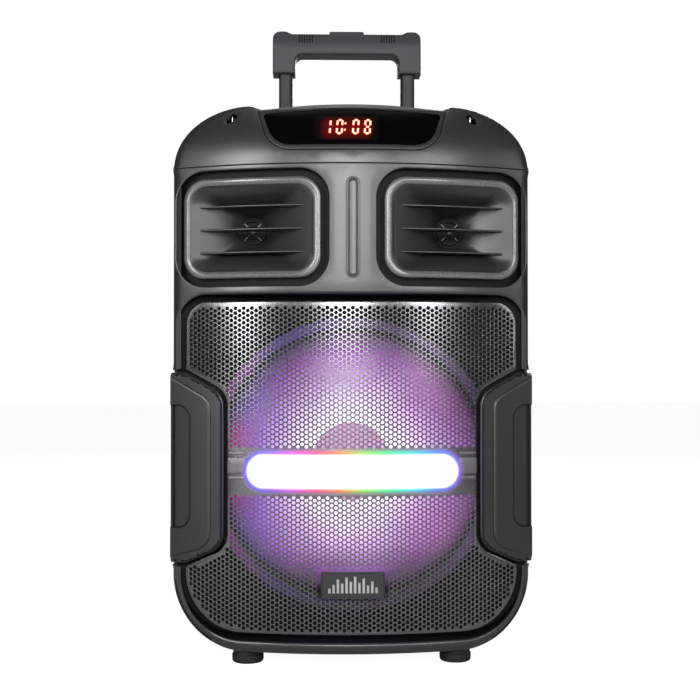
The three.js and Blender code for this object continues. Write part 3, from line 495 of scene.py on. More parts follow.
class Outline:
    """A closed outline with filleted corners. An inset keeps the order and the count of its points."""

    def __init__(self, corners, weights=None, edge_step=9.0, arc_step=7.5):
        self.corners = [tuple(map(float, c)) for c in corners]
        self.n = len(self.corners)
        self.weights = [1.0] * self.n if weights is None else list(weights)
        self.arcs = []
        self.edges = []
        for i in range(self.n):
            turn = self._turn(i)
            self.arcs.append(max(2, math.ceil(abs(math.degrees(turn)) / arc_step)) if self.corners[i][2]
                             else 0)
        ends = [self._arc(self.corners, i) for i in range(self.n)]
        for i in range(self.n):
            gap = np.linalg.norm(ends[(i + 1) % self.n][0] - ends[i][-1])
            self.edges.append(max(1, math.ceil(gap / edge_step)))

    def _turn(self, i, corners=None):
        c = corners or self.corners
        a, b, d = (np.array(c[(i + k) % self.n][:2]) for k in (-1, 0, 1))
        into, out = b - a, d - b
        return math.atan2(into[0] * out[1] - into[1] * out[0], float(into @ out))

    def _arc(self, corners, i):
        a, b = (np.array(corners[(i + k) % self.n][:2]) for k in (-1, 0))
        r = corners[i][2]
        if not self.arcs[i]:
            return [b]
        into = (b - a) / np.linalg.norm(b - a)
        turn = self._turn(i, corners)
        reach = r * math.tan(abs(turn) / 2)
        side = 1.0 if turn > 0 else -1.0
        start = b - into * reach
        centre = start + np.array([-into[1], into[0]]) * r * side
        spoke = start - centre
        points = []
        for k in range(self.arcs[i] + 1):
            t = turn * k / self.arcs[i]
            points.append(centre + np.array([spoke[0] * math.cos(t) - spoke[1] * math.sin(t),
                                             spoke[0] * math.sin(t) + spoke[1] * math.cos(t)]))
        return points

    def inset_corners(self, d):
        lines = []
        for i in range(self.n):
            a = np.array(self.corners[i][:2])
            b = np.array(self.corners[(i + 1) % self.n][:2])
            along = (b - a) / np.linalg.norm(b - a)
            normal = np.array([-along[1], along[0]])
            lines.append((a + normal * d * self.weights[i], along, normal))
        moved = []
        for i in range(self.n):
            p, u, _ = lines[i - 1]
            q, v, _ = lines[i]
            cross = u[0] * v[1] - u[1] * v[0]
            if abs(cross) < 0.25 and float(u @ v) > 0 and not self.corners[i][2]:
                normal = lines[i - 1][2] + lines[i][2]
                push = d * 0.5 * (self.weights[i - 1] + self.weights[i]) / np.linalg.norm(normal)
                at = np.array(self.corners[i][:2]) + normal * push
            else:
                gap = q - p
                at = p + u * ((gap[0] * v[1] - gap[1] * v[0]) / cross)
            r = self.corners[i][2]
            if r:
                w = 0.5 * (self.weights[i - 1] + self.weights[i])
                r = max(r - d * w * (1 if self._turn(i) > 0 else -1), 0.05)
            moved.append((at[0], at[1], r))
        return moved

    def ring(self, d=0.0):
        corners = self.inset_corners(d) if d else self.corners
        arcs = [self._arc(corners, i) for i in range(self.n)]
        points = []
        for i in range(self.n):
            points.extend(arcs[i])
            start, end = arcs[i][-1], arcs[(i + 1) % self.n][0]
            for k in range(1, self.edges[i]):
                points.append(start + (end - start) * k / self.edges[i])
        return np.array(points)

    def point_weights(self):
        """Each ring point's edge weight, blended round the corners."""
        values = []
        for i in range(self.n):
            before, after = self.weights[i - 1], self.weights[i]
            if self.arcs[i]:
                values.extend(before + (after - before) * k / self.arcs[i] for k in range(self.arcs[i] + 1))
            else:
                values.append(min(before, after))
            values.extend([after] * (self.edges[i] - 1))
        return np.array(values)


def inset(corners, d):
    """The corners of an outline moved inwards by d."""
    return Outline(corners).inset_corners(d)


def inside(points, polygon):
    """Which points lie in a closed polygon."""
    x, y = points[:, 0][:, None], points[:, 1][:, None]
    a, b = np.asarray(polygon), np.roll(np.asarray(polygon), -1, axis=0)
    result = np.zeros(len(points), bool)
    for start in range(0, len(points), 4000):
        part = slice(start, start + 4000)
        crosses = (a[:, 1] > y[part]) != (b[:, 1] > y[part])
        with np.errstate(divide="ignore", invalid="ignore"):
            at = (b[:, 0] - a[:, 0]) * (y[part] - a[:, 1]) / (b[:, 1] - a[:, 1]) + a[:, 0]
        result[part] = (np.sum(crosses & (x[part] < at), axis=1) % 2) == 1
    return result


def far_from(points, lines, gap):
    """Which points are further than gap from all the outlines' own points."""
    keep = np.ones(len(points), bool)
    for line in lines:
        line = np.asarray(line)
        for start in range(0, len(points), 2000):
            part = slice(start, start + 2000)
            d2 = ((points[part][:, None, :] - line[None, :, :]) ** 2).sum(2).min(1)
            keep[part] &= d2 > gap * gap
    return keep


SLIVER = 5e-5


def fill(outer, holes=(), step=None):
    """Triangles between outlines: (points, triangles, the input point that each point was, or -1)."""
    rings = [np.asarray(outer, float), *[np.asarray(h, float) for h in holes]]
    points = np.vstack(rings)
    faces, at = [], 0
    for ring in rings:
        faces.append(list(range(at, at + len(ring))))
        at += len(ring)
    if step:
        low, high = rings[0].min(0), rings[0].max(0)
        xs = np.arange(math.ceil(low[0] / step[0]) * step[0], high[0], step[0])
        ys = np.arange(math.ceil(low[1] / step[1]) * step[1], high[1], step[1])
        grid = np.array([(x, y) for x in xs for y in ys]).reshape(-1, 2)
        if len(grid):
            keep = inside(grid, rings[0]) & far_from(grid, rings, 0.45 * min(step))
            for hole in rings[1:]:
                keep &= ~inside(grid, hole)
            points = np.vstack([points, grid[keep]])
    given = [Vector((float(x), float(y))) for x, y in points]
    verts, _, tris, origin, _, _ = delaunay_2d_cdt(given, [], faces, 0, 1e-7)
    verts = np.array([(v.x, v.y) for v in verts])
    tris = np.array([t for t in tris if len(t) == 3])
    middle = verts[tris].mean(1)
    keep = inside(middle, rings[0])
    for hole in rings[1:]:
        keep &= ~inside(middle, hole)
    p, q, r = (verts[tris[:, k]] for k in range(3))
    area = np.abs((q - p)[:, 0] * (r - p)[:, 1] - (q - p)[:, 1] * (r - p)[:, 0])
    longest = np.max([((q - p) ** 2).sum(1), ((r - q) ** 2).sum(1), ((p - r) ** 2).sum(1)], axis=0)
    keep &= area > SLIVER * longest
    source = [o[0] if o else -1 for o in origin]
    return verts, tris[keep], source


# ---------------------------------------------------------------- meshes
def arc_y(x):
    return FRONT_AXIS_Y - np.sqrt(FRONT_RADIUS**2 - np.asarray(x, float) ** 2)


def lean(z):
    """How far the hood's front leans back at a height."""
    t = np.clip((np.asarray(z, float) - SEAM_Z) / (TOP_Z - SEAM_Z), 0, 1)
    return 30.0 * t**2


def on_front(points, depth=0.0):
    """Front-view points carried on to the curved front, at a depth behind it."""
    p = np.asarray(points, float)
    y = arc_y(p[:, 0]) + lean(p[:, 1]) + depth
    return np.column_stack([p[:, 0], y, p[:, 1]])


def on_brow(points, depth=0.0):
    """As on_front, with the stretch above the display arched upwards towards the middle."""
    p = np.array(points, float)
    p[:, 1] += brow(p[:, 0]) * np.clip((p[:, 1] - 535) / 26.5, 0, 1)
    return on_front(p, depth)


def brow(x):
    return BROW_HIGH * (1 - (np.asarray(x, float) / DECK_HALF) ** 2).clip(0)


def on_brow_deck(points, depth=0.0):
    """The deck's surface, which swells up to the arch at its front edge."""
    p = np.asarray(points, float)
    z = DECK_Z + brow(p[:, 0]) * np.clip((-100 - p[:, 1]) / 28, 0, 1) ** 1.5
    return np.column_stack([p[:, 0], p[:, 1], z - depth])


def on_plane(y):
    return lambda points, depth=0.0: np.column_stack([np.asarray(points)[:, 0],
                                                      np.zeros(len(points)) + y + depth,
                                                      np.asarray(points)[:, 1]])


def on_deck(z):
    """Plan-view points (x, y) at a height; depth counts downwards."""
    return lambda points, depth=0.0: np.column_stack([np.asarray(points)[:, 0], np.asarray(points)[:, 1],
                                                      np.zeros(len(points)) + z - depth])


def on_side(x, sign=1):
    """Side-view points (y, z) at a distance from the middle; depth counts inwards."""
    return lambda points, depth=0.0: np.column_stack([np.zeros(len(points)) + sign * (x - depth),
                                                      np.asarray(points)[:, 0], np.asarray(points)[:, 1]])


class Shape:
    """Collects points and faces in millimetres, then makes one Blender object of them."""

    def __init__(self):
        self.points, self.faces, self.slots, self.count = [], [], [], 0

    def add(self, points, faces, slot=0):
        base = self.count
        points = np.asarray(points, float).reshape(-1, 3)
        self.points.append(points)
        self.count += len(points)
        for face in faces:
            self.faces.append([base + int(k) for k in face])
            self.slots.append(slot)
        return base

    def band(self, a, b, slot=0, closed=True):
        """A strip of quads between two rows of the same count."""
        n = len(a)
        last = n if closed else n - 1
        faces = [(k, (k + 1) % n, n + (k + 1) % n, n + k) for k in range(last)]
        self.add(np.vstack([a, b]), faces, slot)

    def bands(self, rows, slot=0, closed=True):
        rows = [np.asarray(r, float) for r in rows]
        n = len(rows[0])
        last = n if closed else n - 1
        faces = []
        for j in range(len(rows) - 1):
            for k in range(last):
                m = (k + 1) % n
                faces.append((j * n + k, j * n + m, (j + 1) * n + m, (j + 1) * n + k))
        self.add(np.vstack(rows), faces, slot)

    def patch(self, place, outer, holes=(), step=None, depth=0.0, slot=0):
        verts, tris, _ = fill(outer, holes, step)
        self.add(place(verts, depth), tris, slot)

    def slope(self, place, outer, outer_depth, inner, inner_depth, slot=0):
        """The area between two outlines at two depths."""
        verts, tris, source = fill(outer, [inner])
        depths = np.array([outer_depth if 0 <= s < len(outer) else inner_depth for s in source])
        self.add(place(verts, depths), tris, slot)

    def rim(self, place, outline, profile, slot=0):
        """Rings at (inset, depth) pairs, joined by bands."""
        self.bands([place(outline.ring(d), depth) for d, depth in profile], slot)

    def levels(self, place, outline, profile, slot=0, caps=(False, True), step=None):
        """As rim, with the last ring filled, and the first too where caps asks for it: a bevelled plate."""
        self.rim(place, outline, profile, slot)
        for which, end in zip(caps, (profile[0], profile[-1])):
            if which:
                self.patch(place, outline.ring(end[0]), step=step, depth=end[1], slot=slot)

    def lathe(self, profile, axis, centre, segments=96, slot=0, closed=True, start=0.0, sweep=360.0):
        """Turns [radius, height] points about an axis: x, y, z or front, whose heights run along -Y."""
        full = sweep >= 360.0
        count = segments if full else segments + 1
        angles = np.radians(start + sweep * np.arange(count) / segments)
        rows = []
        for r, h in profile:
            u, v, w = r * np.cos(angles), r * np.sin(angles), np.zeros(count) + h
            row = {"z": (u, v, w), "x": (w, u, v), "y": (u, w, v), "front": (u, -w, v)}[axis]
            rows.append(np.column_stack(row) + np.array(centre, float))
        if closed:
            rows.append(rows[0])
        self.bands(rows, slot, closed=full)

    def paint(self, rule, slot):
        """Gives the faces whose middles pass a rule, on x, y and z in millimetres, another material slot."""
        points = np.vstack(self.points)
        middles = np.array([points[face].mean(0) for face in self.faces])
        for k in np.nonzero(rule(*middles.T))[0]:
            self.slots[k] = slot

    def object(self, name, materials, body=CABINET, replaces=(), slot=None, angle=32.0, thickness=0.0,
               weld=0.004, bevel=0.0, mirror=False):
        points = np.vstack(self.points)
        if mirror:
            points = points * np.array([-1, 1, 1])
        mesh = bpy.data.meshes.new(name)
        mesh.from_pydata((points * MM).tolist(), [], self.faces)
        mesh.polygons.foreach_set("material_index", self.slots)
        work = bmesh.new()
        work.from_mesh(mesh)
        bmesh.ops.remove_doubles(work, verts=work.verts, dist=weld * MM)
        bmesh.ops.dissolve_degenerate(work, edges=work.edges, dist=1e-7)
        bmesh.ops.recalc_face_normals(work, faces=work.faces)
        work.to_mesh(mesh)
        work.free()
        for material in materials if isinstance(materials, (list, tuple)) else [materials]:
            mesh.materials.append(material)
        made = bpy.data.objects.new(name, mesh)
        bpy.context.scene.collection.objects.link(made)
        if bevel:
            tool = made.modifiers.new("edges", "BEVEL")
            tool.width, tool.segments, tool.limit_method = bevel * MM, 2, "ANGLE"
            tool.angle_limit = math.radians(38)
        if thickness:
            tool = made.modifiers.new("wall", "SOLIDIFY")
            tool.thickness, tool.offset = thickness * MM, -1.0
        if bevel or thickness:
            bake_modifiers(made)
        smooth(made, angle)
        finish(made, body, replaces)
        return made


def bake_modifiers(made):
    bpy.context.view_layer.update()
    graph = bpy.context.evaluated_depsgraph_get()
    mesh = bpy.data.meshes.new_from_object(made.evaluated_get(graph))
    made.modifiers.clear()
    made.data = mesh


def smooth(made, angle=32.0):
    mesh = made.data
    mesh.polygons.foreach_set("use_smooth", [True] * len(mesh.polygons))
    mesh.set_sharp_from_angle(angle=math.radians(angle))
    mesh.update()


def finish(made, body, replaces=()):
    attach(made, body)
    if replaces:
        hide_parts(*([replaces] if isinstance(replaces, str) else replaces))


def both_sides(build, name, materials, **options):
    """Makes name_right from a builder, and name_left as its mirror image."""
    replaced = options.pop("replaces", None)
    for side, flip in (("right", False), ("left", True)):
        shape = Shape()
        build(shape)
        extra = {"replaces": f"{replaced}_{side}"} if replaced else {}
        shape.object(f"{name}_{side}", materials, mirror=flip, **extra, **options)


# ---------------------------------------------------------------- shared outlines
GRILLE_RECESS = [(-179, 27, 66), (179, 27, 66), (179, 376.6, 30), (-179, 376.6, 30)]
GRIP_NOTCH = [(128, 119, 24), (172, 98.5, 12), (181, 98.5, 0), (181, 300, 0), (172, 300, 12),
              (128, 277, 24)]
HORN_RECESS = box2(24, 385, 181, 503, 30)
HORN_BEZEL = inset(HORN_RECESS, 8)
HORN_MOUTH = box2(39.5, 399.6, 166.5, 488, 18)
DECOR_SLOT = box2(-4.6, 395, 4.6, 492, 4.5)
BEZEL = [(-84, 521.6, 30), (84, 521.6, 30), (98, 567, 0), (-98, 567, 0)]
LENS = [(-79.5, 527.2, 25), (79.5, 527.2, 25), (91.5, 561.5, 3), (-91.5, 561.5, 3)]

EDGE_ROUND = [(9, 0), (6.4, 0.4), (4.1, 1.5), (2.2, 3.1), (0.8, 5.4), (0.1, 8.0), (0, 9)]


# ---------------------------------------------------------------- the front moulding
def rounded_rows(outline, place):
    """Rows that round over from the flat face to an outline's edge, by as much as each edge's weight."""
    weights = outline.point_weights()
    return [place(outline.ring(d), depth * weights) for d, depth in EDGE_ROUND]


def front_region(shape, corners, weights, holes, end_row):
    """One stretch of the front face with its rounded edges, walled back to the row that end_row gives."""
    outline = Outline(corners, weights, edge_step=7.0, arc_step=4.0)
    rows = rounded_rows(outline, on_front)
    rows.append(end_row(rows[-1]))
    shape.bands(rows)
    shape.patch(on_front, outline.ring(EDGE_ROUND[0][0]), holes, step=(8, 14))


def front_baffle(shape):
    recess = 0.3
    top = SEAM_Z - 0.3
    upper = [(185, 300, 0), (185, top, 0), (-185, top, 0), (-185, 300, 0), (-179, 300, 0),
             (-179, 376.6, 30), (179, 376.6, 30), (179, 300, 0)]
    upper_weights = [1.0, 0.08, 1.0, 0.12, recess, recess, recess, 0.12]
    lower = [(-185, 98.5, 0), (-185, FLOOR_GAP, CORNER_R), (185, FLOOR_GAP, CORNER_R), (185, 98.5, 0),
             (179, 98.5, 0), (179, 27, 66), (-179, 27, 66), (-179, 98.5, 0)]
    lower_weights = [1.0, 1.0, 1.0, 0.12, recess, recess, recess, 0.12]

    def back_to(row):
        outer = (np.abs(row[:, 0]) > 184.5) | (row[:, 2] < 20) | (row[:, 2] > top - 1)
        outer |= (row[:, 2] < 92) & (np.hypot(np.abs(row[:, 0]) - 110,
                                              row[:, 2] - 89.3) > 71) & (np.abs(row[:, 0]) > 110)
        back = row.copy()
        back[:, 1] = np.where(outer, PARTING_Y - 0.3, PLATE_Y)
        return back

    horn_edge = [Outline(c, edge_step=6, arc_step=5) for c in (HORN_RECESS, mirrored(HORN_RECESS))]
    slot_edge = Outline(DECOR_SLOT, edge_step=8, arc_step=12)
    holes = [o.ring(-1.4) for o in horn_edge] + [slot_edge.ring(-3.4)]
    front_region(shape, upper, upper_weights, holes, back_to)
    front_region(shape, lower, lower_weights, [], back_to)
    for outline in horn_edge:
        profile = [(-1.4, 0), (-0.8, 0.12), (-0.3, 0.5), (0, 1.1), (0, 10), (8.6, 10), (8.6, 13)]
        shape.rim(on_front, outline, profile)
    profile = [(-3.4, 0), (-1.2, 0), (-0.7, -0.28), (-0.1, -0.3), (0.5, 0.1), (1.2, 0.85), (1.6, 0.95)]
    shape.rim(on_front, slot_edge, profile)
    shape.patch(on_front, slot_edge.ring(1.6), step=(3, 14), depth=0.95)
    for corners in (GRIP_NOTCH, mirrored(GRIP_NOTCH)):
        outline = Outline(corners, edge_step=7, arc_step=6)
        rows = [on_front(outline.ring(2.0), 9.0), on_front(outline.ring(0.6), 9.2),
                on_front(outline.ring(0.0), 10.0)]
        base = rows[-1].copy()
        base[:, 1] = PLATE_Y
        shape.bands([*rows, np.where(rows[-1][:, 1:2] < PLATE_Y, base, rows[-1])])
        shape.patch(on_front, outline.ring(2.0), step=(7, 14), depth=9.0)
    circle = Outline(box2(-140, WOOFER_Z - 140, 140, WOOFER_Z + 140, 139.99), edge_step=50, arc_step=3)
    plate = Outline(GRILLE_RECESS, edge_step=8, arc_step=4)
    shape.patch(on_plane(PLATE_Y), plate.ring(0), [circle.ring(0)])
    shape.bands([on_plane(PLATE_Y)(circle.ring(0)), on_plane(PLATE_Y + 5)(circle.ring(0))])


def add_baffle(mats):
    shape = Shape()
    front_baffle(shape)
    # Faces sunk more than 1.7 mm behind the front, bar the decor slot's floor, are painted black: painted
    # shade in the recesses and behind the grille's holes.
    sunk = lambda x, y, z: (np.abs(x) < 181.5) & (z > 25) & (z < 503.4) & (y - arc_y(x) > 1.7)
    slot_floor = lambda x, y, z: (np.abs(x) < 6) & (z > 390)
    shape.paint(lambda x, y, z: sunk(x, y, z) & ~slot_floor(x, y, z), 1)
    shape.object("front_moulding", [mats["shell"], mats["black"]], replaces="front_baffle", slot="shell",
                 angle=30, weld=0.02)


# ---------------------------------------------------------------- the grille and what sits on it
GRILLE_SIDE = [(171.5, 34.5, 58.5), (171.5, 98, 2), (127.5, 118.7, 24), (127.5, 277.3, 24),
               (171.5, 300.6, 2), (171.5, 369.1, 22.5)]
HOLE_PITCH, HOLE_R, HOLE_SIDES = 4.9, 1.86, 10


def hex_centres(outline, margin, solid):
    """Centres of a hexagonal hole pattern, in upright columns, that keep a margin to the outline."""
    across = HOLE_PITCH * math.sqrt(3) / 2
    low, high = outline.min(0), outline.max(0)
    columns = range(math.floor(low[0] / across), math.ceil(high[0] / across) + 1)
    rows = range(math.floor(low[1] / HOLE_PITCH), math.ceil(high[1] / HOLE_PITCH) + 1)
    centres = np.array([(i * across, (j + 0.5 * (i % 2)) * HOLE_PITCH) for i in columns for j in rows])
    keep = inside(centres, outline) & far_from(centres, [outline], margin)
    return centres[keep & ~solid(centres)]


def cell_border(centres):
    """The closed outlines round all the hexagonal cells taken together."""
    corner = HOLE_PITCH / math.sqrt(3)
    angles = np.radians(60 * np.arange(6))
    ring = np.column_stack([np.cos(angles), np.sin(angles)]) * corner
    after, places = {}, {}
    for centre in centres:
        keys = []
        for point in centre + ring:
            key = (round(point[0] * 100), round(point[1] * 100))
            places.setdefault(key, point)
            keys.append(key)
        for k in range(6):
            edge = (keys[k], keys[(k + 1) % 6])
            if after.get(edge[::-1]):
                del after[edge[::-1]]
            else:
                after[edge] = True
    follow = dict(after.keys())
    loops = []
    while follow:
        start, at = follow.popitem()
        loop = [start]
        while at != start:
            loop.append(at)
            at = follow.pop(at)
        loops.append(np.array([places[key] for key in loop]))
    return loops


def perforate(shape, centres, place, depth, thickness):
    """Each cell's sheet metal round its hole, and the wall of the hole."""
    corner = HOLE_PITCH / math.sqrt(3)
    outer = np.radians(60 * np.arange(6))
    inner = 2 * math.pi * (np.arange(HOLE_SIDES) + 0.5) / HOLE_SIDES
    cell = np.vstack([
        np.column_stack([np.cos(outer), np.sin(outer)]) * corner,
        np.column_stack([np.cos(inner), np.sin(inner)]) * (HOLE_R + 0.18),
        np.column_stack([np.cos(inner), np.sin(inner)]) * HOLE_R,
        np.column_stack([np.cos(inner), np.sin(inner)]) * HOLE_R,
    ])
    depths = np.repeat([0, 0, 0.16, thickness], [6, HOLE_SIDES, HOLE_SIDES, HOLE_SIDES]) + depth
    faces, i, j = [], 0, 0
    while i < 6 or j < HOLE_SIDES:
        a, b = 6 + j % HOLE_SIDES, i % 6
        next_outer = math.radians(60 * (i + 1))
        if j >= HOLE_SIDES or (i < 6 and next_outer <= 2 * math.pi * (j + 1.5) / HOLE_SIDES):
            faces.append((a, b, (i + 1) % 6))
            i += 1
        else:
            faces.append((a, b, 6 + (j + 1) % HOLE_SIDES))
            j += 1
    for row in (6, 6 + HOLE_SIDES):
        for k in range(HOLE_SIDES):
            m = (k + 1) % HOLE_SIDES
            faces.append((row + k, row + m, row + HOLE_SIDES + m, row + HOLE_SIDES + k))
    faces = np.array([f if len(f) == 4 else (*f, -1) for f in faces])
    size = len(cell)
    points = (centres[:, None, :] + cell[None]).reshape(-1, 2)
    shape.add(place(points, np.tile(depths, len(centres))), [])
    base = shape.count - len(points)
    for n in range(len(centres)):
        for face in faces.tolist():
            shape.faces.append([base + n * size + k for k in face if k >= 0])
            shape.slots.append(0)


def add_grille(mats):
    """The perforated sheet, with its edge turned back, and left plain behind the bar and the badge."""
    edge = Outline([*mirrored(GRILLE_SIDE), *GRILLE_SIDE], edge_step=6, arc_step=6)
    fine = Outline(edge.corners, edge_step=1.5, arc_step=2).ring(0)

    def solid(points):
        band = np.abs(points[:, 1] - BAR_Z) < 24.5
        badge = (np.abs(points[:, 0]) < 34.5) & (np.abs(points[:, 1] - BADGE_Z) < 16)
        return band | badge

    centres = hex_centres(fine, 4.4, solid)
    shape = Shape()
    perforate(shape, centres, on_front, 3.0, 1.3)
    rows = [(0, 4.5), (0, 3.7), (0.25, 3.25), (0.9, 3.0)]
    shape.rim(on_front, edge, rows)
    shape.patch(on_front, edge.ring(0.9), cell_border(centres), step=(9, 12), depth=3.0)
    shape.object("grille_sheet", mats["grille"], replaces="woofer_grille", slot="grille_steel", weld=0.03)


def stadium(half, r, z):
    return box2(-half, z - r, half, z + r, r - 0.05)


def add_light_bar(mats):
    outline = Outline(stadium(BAR_HALF, BAR_R, BAR_Z), edge_step=6, arc_step=7)
    shape = Shape()
    rows = [(0.3, 0.4), (0.0, -0.1), (0.0, -1.7), (0.4, -2.7), (1.2, -3.4), (2.4, -3.8), (4.0, -3.97)]
    shape.rim(on_front, outline, rows)
    shape.patch(on_front, outline.ring(4.0), step=(9, 9), depth=-3.97)
    shape.object("light_bar_cover", mats["bar"], replaces="light_bar_lens", slot="lens_glow")

    shape = Shape()
    back = Outline(stadium(BAR_HALF + 1, BAR_R + 1, BAR_Z), edge_step=6, arc_step=7)
    rows = [(0, 2.7), (0, 0.6), (0.4, 0.2), (1.6, 0.2), (2.0, 1.0)]
    shape.rim(on_front, back, rows)
    shape.patch(on_front, back.ring(2.0), step=(9, 12), depth=1.0)
    for sign in (-1, 1):
        near, far = sign * (BAR_HALF - 2), sign * 127
        rib = Outline(box2(min(near, far), BAR_Z - 3.6, max(near, far), BAR_Z + 12.8, 1.2), edge_step=3,
                      arc_step=20)
        shape.levels(on_front, rib, [(0, 2.8), (0, 1.7), (0.3, 1.35), (0.9, 1.2)], step=(3, 6))
        for z0, z1 in ((BAR_Z - 9.5, BAR_Z - 6.2), (BAR_Z + 15.6, BAR_Z + 18.6)):
            fold = Outline(box2(min(near, far) + 1, z0, max(near, far) - 1, z1, 0.8), edge_step=3,
                           arc_step=30)
            shape.levels(on_front, fold, [(0, 3.1), (0.2, 2.5), (0.8, 2.3)])
    shape.object("light_bar_back", mats["tray"], replaces="light_bar_tray", slot="steel")


def add_badge(mats):
    """A plain plate with a raised rim and equaliser bars in place of a name."""
    outline = Outline(box2(-32, BADGE_Z - 13.4, 32, BADGE_Z + 13.4, 2), edge_step=6, arc_step=15)
    shape = Shape()
    rows = [(0, 2.7), (0, -0.1), (0.3, -0.5), (0.8, -0.6), (1.2, -0.5), (1.5, 0.3)]
    shape.rim(on_front, outline, rows)
    shape.patch(on_front, outline.ring(1.5), step=(6, 6), depth=0.3)
    heights = (5, 9, 14, 10, 16, 12, 17, 11, 15, 8, 12, 6)
    for k, tall in enumerate(heights):
        x = 4.3 * (k - (len(heights) - 1) / 2)
        bar = Outline(box2(x - 1.35, BADGE_Z - 8, x + 1.35, BADGE_Z - 8 + tall, 0.5), edge_step=6,
                      arc_step=30)
        shape.levels(on_front, bar, [(0, 0.35), (0.05, -0.2), (0.35, -0.45)], slot=1)
    shape.object("badge", [mats["dark"], mats["silver"]], replaces="badge_plate", slot="trim")


# ---------------------------------------------------------------- side grips, strap pins and feet
GRIP_BASE = [(187, 297, 0), (171.5, 297, 9), (131, 275.5, 21), (131, 120.5, 21), (171.5, 101.5, 9),
             (187, 101.5, 0)]
GRIP_FACE = [(187, 294, 0), (144, 270, 16), (144, 121, 20), (187, 107, 0)]
GRIP_BITE = [(187, 138, 0), (166, 138, 14), (166, 264, 14), (187, 264, 0)]
GRIP_OUT = -6.0


def relax(tris, source, first_count, rounds=500):
    """Values that rise smoothly from 0 on the first outline's points to 1 on the second's."""
    source = np.array(source)
    value = np.where(source < 0, 0.5, (source >= first_count).astype(float))
    free = source < 0
    a = np.concatenate([tris[:, 0], tris[:, 1], tris[:, 2]])
    b = np.concatenate([tris[:, 1], tris[:, 2], tris[:, 0]])
    count = np.bincount(a, minlength=len(source)) + np.bincount(b, minlength=len(source))
    for _ in range(rounds):
        total = np.bincount(a, value[b], len(source)) + np.bincount(b, value[a], len(source))
        value[free] = total[free] / count[free]
    return value


def open_ring(outline, d=0.0):
    """An outline's points without those along its last edge."""
    ring = outline.ring(d)
    return ring[: len(ring) - (outline.edges[-1] - 1)]


def side_grip(shape):
    """A moulded cheek: a flat foot, a slope up to a raised face, and a finger hollow open to the side."""
    base = Outline(GRIP_BASE, [1, 1, 1, 1, 1, 0], edge_step=8, arc_step=6)
    for a, b in zip([(0, 8.6), (0, 1.5), (0.4, 0.6)], [(0, 1.5), (0.4, 0.6), (1.5, 0)]):
        shape.band(on_front(open_ring(base, a[0]), a[1]), on_front(open_ring(base, b[0]), b[1]),
                   closed=False)
    face = Outline(GRIP_FACE, [1, 1, 1, 0], edge_step=8, arc_step=6)
    foot, head = open_ring(base, 1.5), open_ring(face)
    verts, tris, source = fill(np.vstack([foot, head[::-1]]), step=(2.4, 2.4))
    share = relax(tris, source, len(foot))
    shape.add(on_front(verts, -4.2 * share * share * (3 - 2 * share)), tris)
    rim = Outline([*GRIP_FACE, *GRIP_BITE], [1, 1, 1, 0, 0.35, 0.35, 0.35, 0], edge_step=8, arc_step=6)
    points = rim.ring(0)
    bitten = (points[:, 1] > 137.9) & (points[:, 1] < 264.1) & (points[:, 0] > 165)
    sunk = np.where(bitten[:, None], rim.ring(-3.2), points)
    rows = [on_front(sunk, np.where(bitten, -1.2, -4.2))]
    for d, depth in ((0, -4.5), (0.5, -5.2), (1.4, -5.75), (2.8, GRIP_OUT), (4.0, GRIP_OUT)):
        rows.append(on_front(rim.ring(d), depth))
    shape.bands(rows)
    shape.patch(on_front, rim.ring(4.0), step=(5, 7), depth=GRIP_OUT)
    bite = Outline(GRIP_BITE, [1, 1, 1, 0], edge_step=8, arc_step=6)
    shape.patch(on_front, bite.ring(0), step=(7, 14), depth=-1.2)
    edge_y = float(arc_y(187.0)) + GRIP_OUT
    low_z, high_z = 106.5, 291.9
    side = [(edge_y, low_z, 0), (-10, 133, 20), (-10, 265, 20), (edge_y, high_z, 0), (edge_y, 264, 0),
            (-50, 264, 16),
            (-50, 138, 16), (edge_y, 138, 0)]
    plate = Outline(side, [1, 1, 1, 0, 0.4, 0.4, 0.4, 0], edge_step=8, arc_step=8)
    points = plate.ring(0)
    bitten = (points[:, 1] > 137.9) & (points[:, 1] < 264.1) & (points[:, 0] < -49)
    place = on_side(187)
    rows = [place(points, np.where(bitten, 2.8, 5.7))]
    rows += [place(plate.ring(d), depth) for d, depth in ((0, 1.6), (0.5, 0.6), (1.6, 0))]
    shape.bands(rows)
    shape.patch(place, plate.ring(1.6), step=(12, 14))
    shape.patch(on_side(184.2),
                Outline([(edge_y, 138, 0), (-50, 138, 16), (-50, 264, 16), (edge_y, 264, 0)]).ring(0),
                step=(12, 14))


def foot(shape):
    x, y, r = 107, -108, 16.2
    profile = [(0, 13.9), (r - 3, 13.9), (r - 1, 13.2), (r - 1, 9), (r, 8.2), (r, 3), (r - 0.5, 1.2),
               (r - 1.4, 0.3),
               (r - 2.4, 0), (6, 0), (5.2, 1.4), (0, 1.4)]
    shape.lathe(profile, "z", (x, y, 0), segments=48, closed=False)


def strap_pin(shape):
    shape.lathe([(0, 550), (2.2, 550), (2.2, 566.0), (1.6, 566.4), (0, 566.4)], "z", (124, -100, 0), 24,
                closed=False)


# ---------------------------------------------------------------- horns and tweeters
LOUVRE_HEIGHTS = (420.0, 443.6, 467.2)
THROAT_HALF = 15.5


def like(outline, corners):
    """An outline of other corners with the same number of points."""
    made = Outline(corners)
    made.arcs, made.edges = outline.arcs, outline.edges
    return made


